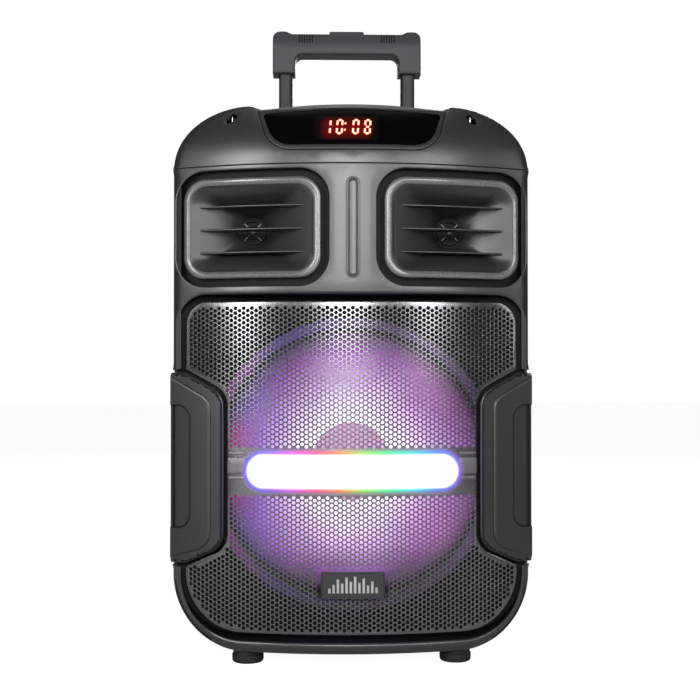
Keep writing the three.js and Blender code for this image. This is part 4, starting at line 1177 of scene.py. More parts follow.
def horn(shape):
    """A bezel, a square flare whose corners sharpen towards the throat, and three louvres."""
    bezel = Outline(HORN_BEZEL, edge_step=7, arc_step=6)
    mouth = Outline(HORN_MOUTH, edge_step=7, arc_step=6)
    rows = [(0, 16), (0, 2.6), (0.4, 1.6), (1.2, 0.8), (2.4, 0.3), (3.6, 0.2)]
    shape.rim(on_front, bezel, rows, slot=1)
    shape.slope(on_front, bezel.ring(3.6), 0.2, mouth.ring(-2.4), 0.5, slot=1)
    rows = [(-2.4, 0.5), (-1.2, 0.9), (-0.3, 1.6), (0.2, 2.4)]
    shape.rim(on_front, mouth, rows, slot=1)
    lip = mouth.ring(0.2)
    low, high = np.array([39.7, 399.8]), np.array([166.3, 487.8])
    throat = np.array([HORN_X, HORN_Z])

    def flare(t):
        share = 1 - (1 - t) ** 1.6
        a = low + (throat - THROAT_HALF - low) * share
        b = high + (throat + THROAT_HALF - high) * share
        r = 18 * (1 - t) ** 5 + 3.0 + 12.4 * t**3
        ring = like(mouth, box2(a[0], a[1], b[0], b[1], r)).ring(0)
        front = arc_y(lip[:, 0]) + 2.4
        return np.column_stack([ring[:, 0], front + (THROAT_Y - front) * t, ring[:, 1]])

    start = on_front(lip, 2.4)
    shape.bands([start, *[flare(t) for t in (0.03, 0.07, 0.13, 0.2, 0.3, 0.42, 0.56, 0.7, 0.85, 1.0)]])
    for z in LOUVRE_HEIGHTS:
        rows = []
        for depth, half in ((9, 0.25), (9.3, 0.7), (10.2, 0.95), (16, 0.95), (22, 0.9), (28, 0.85),
                            (34, 0.8)):
            t = depth / 62
            share = 1 - (1 - t) ** 1.6
            x0 = low[0] + (throat[0] - THROAT_HALF - low[0]) * share - 0.4
            x1 = high[0] + (throat[0] + THROAT_HALF - high[0]) * share + 0.4
            xs = np.linspace(x0, x1, 14)
            top = np.column_stack([xs, arc_y(xs) + depth, np.full(14, z + half)])
            low_side = np.column_stack([xs, arc_y(xs) + depth, np.full(14, z - half)])[::-1]
            rows.append(np.vstack([top, low_side]))
        shape.bands(rows)
        for row in (rows[0], rows[-1]):
            shape.add(row, [(k, k + 1, 26 - k, 27 - k) for k in range(13)])


def tweeter(shape):
    centre = (HORN_X, 0, HORN_Z)
    h = -THROAT_Y
    motor = [(0, h - 30), (24, h - 30), (26, h - 29), (26, h - 11), (32, h - 9.5), (34, h - 7.5),
             (34, h - 1.5), (33, h - 0.3), (0, h - 0.3)]
    shape.lathe(motor, "front", centre, segments=64, closed=False)
    wall = [(10.8, h - 1), (10.8, h + 2.2), (11.2, h + 3), (13.2, h + 3), (13.8, h + 2.2), (13.8, h - 1)]
    for k in range(4):
        shape.lathe(wall, "front", centre, segments=14, closed=False, start=90 * k + 50, sweep=80)
    inner = [(5.5, h - 1), (5.5, h + 2.4), (6.0, h + 3), (7.4, h + 3), (7.9, h + 2.4), (7.9, h - 1)]
    shape.lathe(inner, "front", centre, segments=48, closed=False)
    tip = [(3.9, h - 1), (3.9, h + 2), (3.2, h + 3.6), (2.0, h + 4.6), (0.8, h + 5), (0, h + 5)]
    shape.lathe(tip, "front", centre, segments=32, slot=1, closed=False)
    for angle in (45, 135, 225, 315):
        c, s = math.cos(math.radians(angle)), math.sin(math.radians(angle))
        ring = []
        for r, side in ((4.5, -0.9), (12.5, -0.7), (12.5, 0.7), (4.5, 0.9)):
            ring.append((HORN_X + r * c - side * s, HORN_Z + r * s + side * c))
        spoke = Outline([(x, z, 0) for x, z in ring], edge_step=4)
        place = on_plane(-h)
        shape.levels(place, spoke, [(0, 0.5), (0, -2.0), (0.3, -2.6)], slot=1)


# ---------------------------------------------------------------- the hood
CREST, SHOULDER, HOOD_HIGH = 107.0, 78.0, 66.0
EAR_ROLL = 4.2
BACK_LEAN = 16.0
PROFILE_STEPS = 22
LEDGE_SHARE = 0.965
STRAP_SLOT = [(117.2, 561.2, 3), (126.6, 551.8, 3), (131.0, 556.2, 3), (121.6, 565.6, 3)]
HOOD_TAPER = [(10, 0), (30, 1.0), (55, 3), (78, 6.0), (100, 10), (122, 15), (141, 20), (147, 24), (150, 29)]


def hood_side(t, taper=0.0):
    """Half the hood's width at a share of its height."""
    return CREST + SHOULDER * math.sqrt(max(0.0, 1 - t * t)) - taper


def back_lean(height):
    """How far the hood's back leans in at a share of its height."""
    return BACK_LEAN * height**2.5


def on_hood_back(points, depth=0.0):
    lean_in = back_lean(((points[:, 1] - SEAM_Z) / HOOD_HIGH).clip(0, 1))
    return np.column_stack([points[:, 0], BACK_Y - lean_in + depth, points[:, 1]])


def hood_profile(taper, steps=PROFILE_STEPS):
    """Right-hand points (x, z) from the seam over the crest and down into the sunk deck."""
    room = (DECK_HALF - CREST + taper) / SHOULDER
    end = math.sqrt(1 - room * room) if room > 0 else 1.0
    span = math.asin(end)
    points = []
    for k in range(steps + 1):
        t = math.sin(span * k / steps)
        points.append((hood_side(t, taper), SEAM_Z + HOOD_HIGH * t))
    last_x, last_z = points[-1]
    for share in (0.35, 0.65, 0.85, 1.0):
        points.append((last_x + (DECK_HALF - last_x) * share, last_z - EAR_ROLL * share**2))
    points.append((DECK_HALF, DECK_Z))
    return np.array(points)


def hood_front(shape):
    side = [(x, z, 0) for x, z in hood_profile(0.0)[:-2]]
    side[0] = (HALF_WIDTH, SEAM_Z + 0.1, 0)
    right = [*side, (DECK_HALF, TOP_Z - EAR_ROLL, 0), (DECK_HALF, DECK_Z, 0), (84, 521.6, 30)]
    left = mirrored(right)
    corners = [*right, *left]
    curve = len(side) - 1
    flanks = [1 - 0.55 * (k / curve) ** 3 for k in range(curve)] + [0.4, 0.1, 0.1]
    weights = [*flanks, 0.1, *reversed(flanks), 0.06]
    outline = Outline(corners, weights, edge_step=7, arc_step=5)
    share = outline.point_weights()
    rows = [on_front(outline.ring(d), depth * share) for d, depth in EDGE_ROUND]
    outer = rows[-1]
    walls = outer.copy()
    mid = (np.abs(outer[:, 0]) < DECK_HALF + 0.5) & (outer[:, 2] > SEAM_Z + 3)
    walls[:, 1] = np.where(mid, outer[:, 1] + 4.0, outer[:, 1])
    ledge = walls.copy()
    ledge[:, 0] = np.where(mid, walls[:, 0] * LEDGE_SHARE, walls[:, 0])
    ledge[:, 2] = np.where(mid, 560 + (walls[:, 2] - 560) * LEDGE_SHARE, walls[:, 2])
    shape.bands([*rows, walls, ledge])
    slots = []
    for flip in (1, -1):
        slot = Outline([(x * flip, z, r) for x, z, r in STRAP_SLOT][::flip], edge_step=3, arc_step=12)
        slots.append(slot.ring(-0.7))
        shape.rim(on_front, slot, ((-0.7, 0), (-0.2, 0.25), (0, 0.8), (0, 16)))
        # The slot's floor is black: painted shade down the slot.
        shape.patch(on_front, slot.ring(0), depth=16, slot=1)
    shape.patch(on_front, outline.ring(EDGE_ROUND[0][0]), slots, step=(8, 7))
    return outer


def hood_skin(shape, sign, edge):
    """One flank and shoulder: rows of the profile from the front edge's ring to the back."""
    rows = []
    first = hood_profile(0.0)
    start = np.full(len(first), float(arc_y(HALF_WIDTH)) + 9)
    for k in range(1, len(first)):
        gap = np.abs(edge[:, 0] - sign * first[k, 0]) + np.abs(edge[:, 2] - first[k, 1])
        start[k] = edge[int(gap.argmin()), 1]
    for share in (0, 0.35, 0.7):
        y = start + (10 - start) * share
        rows.append(np.column_stack([sign * first[:, 0], y, first[:, 1]]))
    for at, taper in HOOD_TAPER:
        line = hood_profile(taper)
        height = np.clip((line[:, 1] - SEAM_Z) / HOOD_HIGH, 0, 1)
        lean_in = back_lean(height)
        back = at - (lean_in if at > 130 else lean_in * max(0, at - 78) / 72)
        rows.append(np.column_stack([sign * line[:, 0], back, line[:, 1]]))
    shape.bands(rows, closed=False)
    return rows[-1]


def add_hood(mats):
    shape = Shape()
    edge = hood_front(shape)
    ends = [hood_skin(shape, sign, edge) for sign in (1, -1)]
    for sign in (1, -1):
        strip = np.array([(94.0, -114.0), (DECK_HALF, -114.0), (DECK_HALF, 71.9), (94.0, 71.9)]) * (sign, 1)
        shape.patch(on_deck(DECK_Z - 3.6), strip)
    right = ends[0][:, [0, 2]]
    back = np.vstack([right, (right * np.array([-1, 1]))[::-1]])
    shape.patch(on_hood_back, back, step=(14, 9))
    deck_back = float(ends[0][-1, 1])
    collar = Outline(box2(-92, 95, 92, 131, 8), edge_step=8, arc_step=10)
    deck = [(-DECK_HALF, 71.9), (DECK_HALF, 71.9)]
    walls = (78.0, 100.0, 122.0)
    deck += [(DECK_HALF, y) for y in walls] + [(DECK_HALF, deck_back),
                                               (-DECK_HALF, deck_back)] + [(-DECK_HALF, y)
                                                                           for y in reversed(walls)]
    shape.patch(on_deck(DECK_Z), np.array(deck, float), [collar.ring(-0.8)], step=(12, 12))
    shape.patch(on_plane(71.9),
                np.array([(-DECK_HALF, DECK_Z - 4), (DECK_HALF, DECK_Z - 4), (DECK_HALF, DECK_Z),
                          (-DECK_HALF, DECK_Z)], float))
    rows = [(-0.8, 0), (-0.3, -0.3), (0, -0.9), (0, -3.2), (0.3, -3.8), (0.9, -4)]
    shape.rim(on_deck(DECK_Z), collar, rows)
    tubes = [Outline(tube_box(MIDDLE_TUBE, s, 0.5), edge_step=5, arc_step=10) for s in (1, -1)]
    shape.patch(on_deck(DECK_Z + 4), collar.ring(0.9), [t.ring(-0.8) for t in tubes], step=(10, 10))
    for t in tubes:
        shape.rim(on_deck(DECK_Z + 4), t, ((-0.8, 0), (-0.2, 0.3), (0, 1), (0, 8)))
    shape.object("hood", [mats["shell"], mats["black"]], replaces="top_hood", slot="shell", angle=30,
                 weld=0.02)


# ---------------------------------------------------------------- the control panel
BUTTONS = [("previous_button", -60), ("play_button", -30), ("next_button", 0), ("mode_button", 30),
           ("light_button", 60)]
KNOBS = [("mic_knob", -56, 10), ("volume_knob", 0, 20), ("echo_knob", 56, 10)]
BUTTON_Y, KNOB_Y = -82.0, -30.0
BUTTON_TOP = 569.0
SOCKETS = box2(-66, 28, 66, 52, 5)
SEGMENTS = {"0": "abcdef", "1": "bc", "8": "abcdefg"}
CLOCK = "10:08"
CLOCK_PLACES = (-26.5, -14.5, -6.4, 1.8, 13.8)


def add_control_panel(mats):
    """The deck plate with its holes and printed marks, and the lip that runs down round the display."""
    shape = Shape()
    lip = Outline(inset(BEZEL, 0.5), edge_step=7, arc_step=5)
    lens = Outline(LENS, edge_step=7, arc_step=5)
    shape.rim(on_brow, lip, ((0, 3.2), (0, 0.7), (0.4, 0.3), (1.1, 0.15)))
    shape.slope(on_brow, lip.ring(1.1), 0.15, lens.ring(-0.8), 0.3)
    shape.rim(on_brow, lens, ((-0.8, 0.3), (-0.3, 0.5), (0, 1.2), (0, 3.2)))
    front = [(x, float(arc_y(x)) + float(lean(DECK_Z))) for x in np.linspace(97.3, -97.3, 25)]
    plate = np.array([(-97.3, 71.4), *[(-97.3, y) for y in (40, 0, -40, -80)], *reversed(front),
                      *[(97.3, y) for y in (-80, -40, 0, 40)], (97.3, 71.4)])
    buttons = [Outline(box2(x - 10.4, BUTTON_Y - 5.9, x + 10.4, BUTTON_Y + 5.9, 4.4), arc_step=12) for _,
               x in BUTTONS]
    wells = [Outline(box2(x - r - 1, KNOB_Y - r - 1, x + r + 1, KNOB_Y + r + 1, r + 0.99), arc_step=8)
             for _, x, r in KNOBS]
    socket = Outline(inset(SOCKETS, -0.3), edge_step=8, arc_step=12)
    holes = [*buttons, *wells, socket]
    shape.patch(on_brow_deck, plate, [h.ring(-0.5) for h in holes], step=(12, 12))
    for hole in (*buttons, socket):
        shape.rim(on_brow_deck, hole, ((-0.5, 0), (-0.1, 0.3), (0, 0.9), (0, 3.4)))
    for well in wells:
        rows = ((-0.5, 0), (0, 0.35), (0.4, 0.5))
        shape.rim(on_brow_deck, well, rows)
        shape.patch(on_brow_deck, well.ring(0.4), depth=0.5)
    shape.band(on_brow_deck(plate), on_brow_deck(plate, 3.4))
    for _, x, r in KNOBS:
        for k in range(11):
            angle = math.radians(-60 + 30 * k)
            c, s = math.cos(angle), math.sin(angle)
            inner, outer = r + 2.6, r + (4.6 if k % 5 else 6.0)
            corners = [(x + a * c - b * s, KNOB_Y + a * s + b * c, 0) for a,
                       b in ((inner, -0.3), (outer, -0.3), (outer, 0.3), (inner, 0.3))]
            shape.levels(on_deck(DECK_Z + 0.12), Outline(corners), [(0, 0.1), (0, 0)], slot=1)
    shape.object("control_deck", [mats["dark"], mats["print"]], replaces="control_panel", slot="shell",
                 weld=0.02)


def add_display(mats):
    outline = Outline(inset(LENS, 0.35), edge_step=6, arc_step=5)
    shape = Shape()
    shape.rim(on_brow, outline, ((0, 3.2), (0, 1.1), (0.3, 0.85), (0.8, 0.8)))
    shape.patch(on_brow, outline.ring(0.8), step=(8, 8), depth=0.8)
    shape.object("display_window", mats["glass"], replaces="display_lens", slot="display")
    digits, core = Shape(), Shape()
    for mark, middle in zip(CLOCK, CLOCK_PLACES):
        for corners in ([segment(c, middle) for c in SEGMENTS[mark]] if mark != ":" else colon(middle)):
            outline = Outline([(x, z, 0) for x, z in corners], edge_step=3)
            digits.levels(on_brow, outline, [(0, 0.79), (0, 0.7)])
            core.levels(on_brow, outline, [(0.55, 0.71), (0.55, 0.62)])
    digits.object("clock_digits", mats["digit"], slot="digits")
    core.object("clock_digits_core", mats["digit_core"], slot="digits")
    halo = Shape()
    window = Outline(box2(-38, 532, 26, 558, 5), edge_step=6, arc_step=12)
    halo.levels(on_brow, window, [(0, 0.79), (0, 0.76)], step=(8, 8))
    halo.object("display_field", mats["halo"], slot="display")


DIGIT_X, DIGIT_Z, DIGIT_WIDE, DIGIT_HIGH, STROKE = -3.0, 537.0, 7.2, 15.0, 2.2
SLANT = 0.10


def slanted(middle, points):
    return [(DIGIT_X + middle + x + SLANT * z, DIGIT_Z + z) for x, z in points]


def segment(letter, middle):
    """One stroke of a seven-segment figure, as its corners."""
    w, h, s = DIGIT_WIDE, DIGIT_HIGH, STROKE
    gap = 0.3
    flat = {"a": h - s, "g": (h - s) / 2, "d": 0.0}
    upright = {"f": (0, h / 2), "b": (w - s, h / 2), "e": (0, 0), "c": (w - s, 0)}
    if letter in flat:
        z = flat[letter]
        points = [(s / 2 + gap, z + s / 2), (s + gap, z), (w - s - gap, z), (w - s / 2 - gap, z + s / 2),
                  (w - s - gap, z + s), (s + gap, z + s)]
    else:
        x, z = upright[letter]
        points = [(x, z + s / 2 + gap), (x + s, z + s / 2 + gap), (x + s, z + h / 2 - s / 2 - gap),
                  (x, z + h / 2 - s / 2 - gap)]
    return slanted(middle, points)


def colon(middle):
    return [slanted(middle, [(0, z), (2, z), (2, z + 2), (0, z + 2)]) for z in (3.4, 9.6)]


def button(shape, x, symbol):
    outline = Outline(box2(x - 10, BUTTON_Y - 5.5, x + 10, BUTTON_Y + 5.5, 4), edge_step=4, arc_step=12)
    place = on_deck(BUTTON_TOP)
    rows = [(-1.6, 10), (-1.6, 7.1), (0, 7.0), (0, 0.9), (0.25, 0.35), (0.8, 0.08), (1.6, 0), (3.2, 0.25)]
    shape.levels(place, outline, rows, caps=(True, True), step=(3, 3))
    for corners in symbol:
        mark = Outline([(x + u, BUTTON_Y + v, 0) for u, v in corners], edge_step=3)
        shape.levels(place, mark, [(0, 0.3), (0, 0.1)], slot=1)


def button_symbols():
    """Generic transport marks, two arrows for mode and a small sun for the light."""
    right = [(-1.4, -1.6), (1.4, 0), (-1.4, 1.6)]
    left = [(-u, v) for u, v in reversed(right)]
    bar = [(-0.35, -1.6), (0.35, -1.6), (0.35, 1.6), (-0.35, 1.6)]

    def at(points, du):
        return [(u + du, v) for u, v in points]

    rays = []
    for k in range(8):
        c, s = math.cos(k * math.pi / 4), math.sin(k * math.pi / 4)
        rays.append([(a * c - b * s, a * s + b * c) for a,
                     b in ((1.7, -0.2), (2.6, -0.2), (2.6, 0.2), (1.7, 0.2))])
    disc = [(1.1 * math.cos(k * math.pi / 6), 1.1 * math.sin(k * math.pi / 6)) for k in range(12)]
    return {
        "previous_button": [at(left, -0.9), at(left, 1.6), at(bar, -2.9)],
        "play_button": [at(right, -1.6), at(bar, 1.2), at(bar, 2.4)],
        "next_button": [at(right, -1.6), at(right, 0.9), at(bar, 2.9)],
        "mode_button": [at(left, -1.8), at(right, 1.8)],
        "light_button": [disc, *rays],
    }


def knob(shape, x, r):
    """A fluted skirt under a dished cap, with a raised pointer and a spindle."""
    count = 36 if r > 15 else 24
    steps = count * 6
    angles = 2 * math.pi * np.arange(steps) / steps
    wave = np.clip(np.cos(count * angles) * 1.6, -1, 1)
    rows = []
    profile = [(r - 1.0, 567.7, 0), (r, 568.4, 0), (r, 570.2, 0), (r - 0.4, 571.0, 0.3),
               (r - 0.5, 572.5, 1), (r - 0.7, 582.5, 1),
               (r - 1.0, 584.2, 0.5), (r - 1.8, 585.4, 0), (r - 3.0, 586.0, 0), (r - 4.4, 585.8, 0),
               (r - 5.4, 585.2, 0)]
    for radius, z, flute in profile:
        around = radius - 0.45 * flute * (1 - wave) / 2
        rows.append(np.column_stack([x + around * np.cos(angles), KNOB_Y + around * np.sin(angles),
                                     np.full(steps, z)]))
    shape.bands(rows)
    shape.add(np.vstack([rows[-1], [[x, KNOB_Y, 585.0]]]),
              [(k, (k + 1) % steps, steps) for k in range(steps)])
    shape.lathe([(r - 1.0, 567.7), (3, 567.7), (3, 548), (0, 548)], "z", (x, KNOB_Y, 0), 48, closed=False)
    pointer = Outline(box2(x - 0.6, KNOB_Y + r * 0.45, x + 0.6, KNOB_Y + r - 2.0, 0.3), arc_step=30)
    shape.levels(on_deck(586.0), pointer, [(0, 1.2), (0, 0.25), (0.15, 0.05)], slot=1)


def add_controls(mats):
    symbols = button_symbols()
    for name, x in BUTTONS:
        shape = Shape()
        button(shape, x, symbols[name])
        shape.object(f"{name}_cap", [mats["soft"], mats["print"]], body=name, replaces=name, slot="rubber")
    for name, x, r in KNOBS:
        shape = Shape()
        knob(shape, x, r)
        shape.object(f"{name}_cap", [mats["black"], mats["print"]], body=name, replaces=name, slot="trim")


def add_sockets(mats):
    """Three jacks with metal nuts and two USB sockets in one block, as the CAD piece has them."""
    shape = Shape()
    top = on_deck(DECK_Z + 0.8)
    frame_edge = Outline(SOCKETS, edge_step=8, arc_step=12)
    jacks = [Outline(box2(x - 3.4, 36.6, x + 3.4, 43.4, 3.39), arc_step=10) for x in (-48, -24, 0)]
    slots = [Outline(box2(x - 7, 37, x + 7, 43, 0.8), edge_step=3, arc_step=30) for x in (24, 49)]
    shape.rim(top, frame_edge, ((0, 21.8), (0, 0.6), (0.25, 0.15), (0.8, 0)))
    shape.patch(top, frame_edge.ring(0.8), [h.ring(-0.4) for h in (*jacks, *slots)], step=(10, 6))
    for jack in jacks:
        shape.rim(top, jack, ((-0.4, 0), (0, 0.3), (0, 15)))
        shape.patch(top, jack.ring(0), depth=15)
        nut = [(-3.0, 0.3), (-2.6, -0.7), (-2.2, -1.0), (-0.9, -1.0), (-0.35, -0.6), (-0.1, 0.4)]
        shape.bands([top(jack.ring(d), max(depth, -0.75)) for d, depth in nut], slot=1)
    for slot in slots:
        shape.rim(top, slot, ((-0.4, 0), (0, 0.3), (0, 14)))
        shape.patch(top, slot.ring(0), depth=14)
        shape.rim(top, slot, ((0.1, 0.2), (0.1, 12), (0.6, 12), (0.6, 0.4), (0.1, 0.2)), slot=1)
        low, high = slot.ring(0).min(0), slot.ring(0).max(0)
        tongue = Outline(box2(low[0] + 1.8, low[1] + 2.9, high[0] - 1.8, high[1] - 1.0, 0.3), arc_step=45)
        shape.levels(top, tongue, [(0, 13), (0, 2.4), (0.3, 2.0)], slot=2)
    shape.object("socket_block", [mats["black"], mats["steel"], mats["print"]], replaces="input_sockets",
                 slot="trim")


# ---------------------------------------------------------------- the woofer
def woofer(profile, name, material, node, slot, body=CABINET):
    """One turned part of the woofer."""
    shape = Shape()
    shape.lathe(profile, "front", (0, 0, WOOFER_Z), segments=128, closed=False)
    shape.object(name, material, body=body, replaces=node, slot=slot)


def roll(r0, r1, base, high, steps=10):
    """A half-round bulge between two radii."""
    middle, reach = (r0 + r1) / 2, (r1 - r0) / 2
    return [(middle - reach * math.cos(math.pi * k / steps), base + high * math.sin(math.pi * k / steps))
            for k in range(steps + 1)]


def add_woofer(mats):
    h = -PLATE_Y + 4
    cone = [(27, h - 54.0)]
    for k in range(15):
        r = 27 + 91 * (k + 1) / 15
        share = (r - 27) / 91
        cone.append((r, h - 53.4 + 51.0 * share**0.78 + (0.25 if k % 3 == 1 else 0.0)))
    woofer(cone, "cone_paper", mats["cone"], "woofer_cone", "cone", body="cone")
    woofer([(41.5, h - 39.6), (40.6, h - 38.9), (37, h - 36.3), (31, h - 32.4), (24, h - 29.2),
            (16, h - 27), (8, h - 25.9), (0, h - 25.5)],
           "cone_dust_cap", mats["cap"], "dust_cap", "cone", body="cone")
    surround = [(118.3, h - 3.0), (119.4, h - 2.6), *roll(120.4, 136.2, h - 1.6, 4.1), (137.2, h - 1.6),
                (138, h - 2.0)]
    woofer(surround, "cone_surround", mats["surround"], "woofer_surround", "rubber")
    frame_profile = [(127.5, h - 14), (127.8, h - 2.4), (138.4, h - 2.4), (138.8, h - 0.4), (140.2, h),
                     (152.0, h), (152.8, h - 0.6), (153, h - 1.8), (153, h - 3.7)]
    woofer(frame_profile, "woofer_basket", mats["frame"], "woofer_frame", "steel")
    add_basket_legs(mats)
    ring = [(141, h + 1.9), (141.3, h + 3.0), (142.4, h + 3.9), (150.6, h + 3.9), (151.7, h + 3.0),
            (152, h + 1.9)]
    woofer(ring, "woofer_ring_light", mats["ring"], "woofer_light_ring", "ring_glow")


def add_basket_legs(mats):
    """Six pressed legs and the seat ring of the woofer's basket, behind the cone."""
    h = -PLATE_Y
    shape = Shape()
    shape.lathe([(30, h - 77), (84, h - 77), (85, h - 76), (84, h - 72.6), (82, h - 72), (30, h - 72)],
                "front", (0, 0, WOOFER_Z), 96)
    for k in range(6):
        angle = math.radians(30 + 60 * k)
        c, s = math.cos(angle), math.sin(angle)
        rows = []
        for r, high, half in ((134, h - 12, 12), (131, h - 26, 9), (118, h - 42, 8.5), (98, h - 60, 8.5),
                              (80, h - 74, 10)):
            row = []
            for u, v in ((-half, 0), (-half, 3), (-half + 1.5, 4), (half - 1.5, 4), (half, 3), (half, 0)):
                out = r + v
                row.append((out * c - u * s, -high, WOOFER_Z + out * s + u * c))
            rows.append(np.array(row))
        shape.bands(rows)
    shape.object("woofer_basket_legs", mats["black"], slot="steel")


# ---------------------------------------------------------------- the handle
OUTER_TUBE, MIDDLE_TUBE, INNER_TUBE = (23.6, 29.2, 7.6), (20, 25.6, 6.3), (16.4, 22, 5)
TUBE_WALL = 1.3


def tube_box(size, side, grow=0.0):
    w, d, r = size
    x = side * POST_X
    half_w, half_d = w / 2 + grow, d / 2 + grow
    return box2(x - half_w, POST_Y - half_d, x + half_w, POST_Y + half_d, r + grow)


def tube(name, node, size, low, high, body, mats):
    for side, sign in (("right", 1), ("left", -1)):
        outline = Outline(tube_box(size, sign), edge_step=9, arc_step=9)
        place = on_deck(0)
        rows = [(TUBE_WALL, low), (0.4, low), (0, low + 0.4),
                *[(0, low + (high - low) * k / 6) for k in range(1, 6)],
                (0, high - 0.4), (0.4, high), (TUBE_WALL, high), (TUBE_WALL, low)]
        shape = Shape()
        shape.bands([place(outline.ring(d), -z) for d, z in rows])
        shape.object(f"{name}_{side}", mats["tube"], body=body, replaces=f"{node}_{side}", slot="aluminium")


HANDLE_FRONT, HANDLE_BACK = 101.0, 134.0
HANDLE_CREASE = 690.0
RELEASE_TOP = 707.6
HANDLE_EDGE = [(-89, 654.4, 0), (-62, 654.4, 0), (-62, 677.7, 9), (62, 677.7, 9), (62, 654.4, 0),
               (89, 654.4, 0), (89, 706.3, 9),
               (73, 706.3, 6), (66, 703, 6), (-66, 703, 6), (-73, 706.3, 6), (-89, 706.3, 9)]


def handle_place(points, y):
    """Front-view points at a place y; the bar narrows above its crease and at its sleeves' ends."""
    z = points[:, 1]
    half = (HANDLE_BACK - HANDLE_FRONT) / 2
    middle = (HANDLE_BACK + HANDLE_FRONT) / 2
    narrow = 1 - np.clip(z - HANDLE_CREASE, 0, None) * 5 / 20 / half - np.clip(662 - z, 0,
                                                                               None) * 2 / 22 / half
    return np.column_stack([points[:, 0], middle + (y - middle) * narrow, z])


def on_handle_face(y, out):
    """The grip's front or back face; depth counts inwards from 0.1 mm above it."""
    return lambda points, depth=0.0: handle_place(points, y) - np.array([0, out * (depth - 0.1), 0])


def add_handle(mats):
    outline = Outline(HANDLE_EDGE, edge_step=4, arc_step=10)
    shape = Shape()
    profile = [(2.6, 101.0), (1.3, 101.35), (0.4, 102.3), (0, 103.8), (0, 112), (0, 123), (0, 131.2),
               (0.4, 132.7), (1.3, 133.65), (2.6, 134.0)]
    rows = [handle_place(outline.ring(d), y) for d, y in profile]
    shape.bands(rows)
    for end in (profile[0], profile[-1]):
        shape.patch(lambda p, depth=0.0, y=end[1]: handle_place(p, y), outline.ring(end[0]), step=(6, 5))
    for sign in (-1, 1):
        for k in range(6):
            x = sign * (41.5 + 3.1 * k)
            for y, out in ((HANDLE_FRONT, -1), (HANDLE_BACK, 1)):
                # Each groove is a flat black strip on the face: painted shade in place of a cut groove.
                groove = Outline(box2(x - 0.75, 691.4, x + 0.75, 701.6, 0.5), edge_step=3, arc_step=45)
                shape.levels(on_handle_face(y, out), groove, [(0, 0.1), (0.2, -0.02)], slot=1)
    seat = Outline(box2(-22.4, 110, 22.4, 125, 3.6), edge_step=6, arc_step=15)
    shape.levels(on_deck(703.6), seat, [(0, 1.2), (0, 0.2), (0.4, 0)])
    for sign in (1, -1):
        sleeve = Outline(tube_box(INNER_TUBE, sign, 0.4), edge_step=6, arc_step=15)
        shape.rim(on_deck(654.2), sleeve, ((-1.2, -0.3), (-0.8, 0), (0, 0), (0, -14)), slot=1)
    shape.object("pull_handle", [mats["handle"], mats["black"]], body="handle_upper",
                 replaces="handle_grip", slot="handle", angle=28)
    shape = Shape()
    cap = Outline(box2(-20.9, 111, 20.9, 124, 3), edge_step=5, arc_step=15)
    shape.levels(on_deck(RELEASE_TOP), cap, [(0, 15.6), (0, 1.2), (0.3, 0.4), (1.0, 0), (2.6, 0.15)],
                 caps=(True, True), step=(5, 5))
    for k in range(-3, 4):
        ridge = Outline(box2(4 * k - 0.7, 113.5, 4 * k + 0.7, 121.5, 0.6), edge_step=4, arc_step=30)
        shape.levels(on_deck(RELEASE_TOP), ridge, [(0, 0.4), (0.3, 0.02)])
    shape.object("release_cap", mats["handle"], body="release", replaces="release_button", slot="handle")
    tube("upper_post", "inner_tube", INNER_TUBE, 300, 681, "handle_upper", mats)
    tube("middle_post", "middle_tube", MIDDLE_TUBE, 290, 572, "handle_middle", mats)
    tube("outer_post", "outer_tube", OUTER_TUBE, 282, 563.2, CABINET, mats)


# ---------------------------------------------------------------- wheels
TREAD_COUNT = 40


def tyre(shape):
    """A rubber tyre with a groove round the middle and shallow cross cuts on its shoulders."""
    r, h = WHEEL_R, 14.0
    half = [(31, -h + 1, 0), (31.6, -h + 0.4, 0), (33, -h + 0.1, 0), (36.5, -h + 0.3, 0), (38, -h, 0),
            (r - 2.6, -h + 1.6, 0), (r - 1.4, -h + 3.1, 1), (r - 0.4, -h + 5, 1), (r, -h + 7.5, 1),
            (r, -2.0, 0.6), (r - 1.2, -1.6, 0)]
    profile = half + [(radius, -at, tread) for radius, at, tread in reversed(half)]
    steps = TREAD_COUNT * 6
    angles = 2 * math.pi * np.arange(steps) / steps
    cut_in = np.where(np.arange(steps) % 6 < 2, 1.0, 0.0)
    rows = []
    for radius, at, tread in profile:
        around = radius - 0.9 * tread * cut_in
        rows.append(np.column_stack([np.full(steps, WHEEL_X + at), WHEEL_Y + around * np.cos(angles),
                                     WHEEL_R + around * np.sin(angles)]))
    shape.bands([*rows, rows[0]])


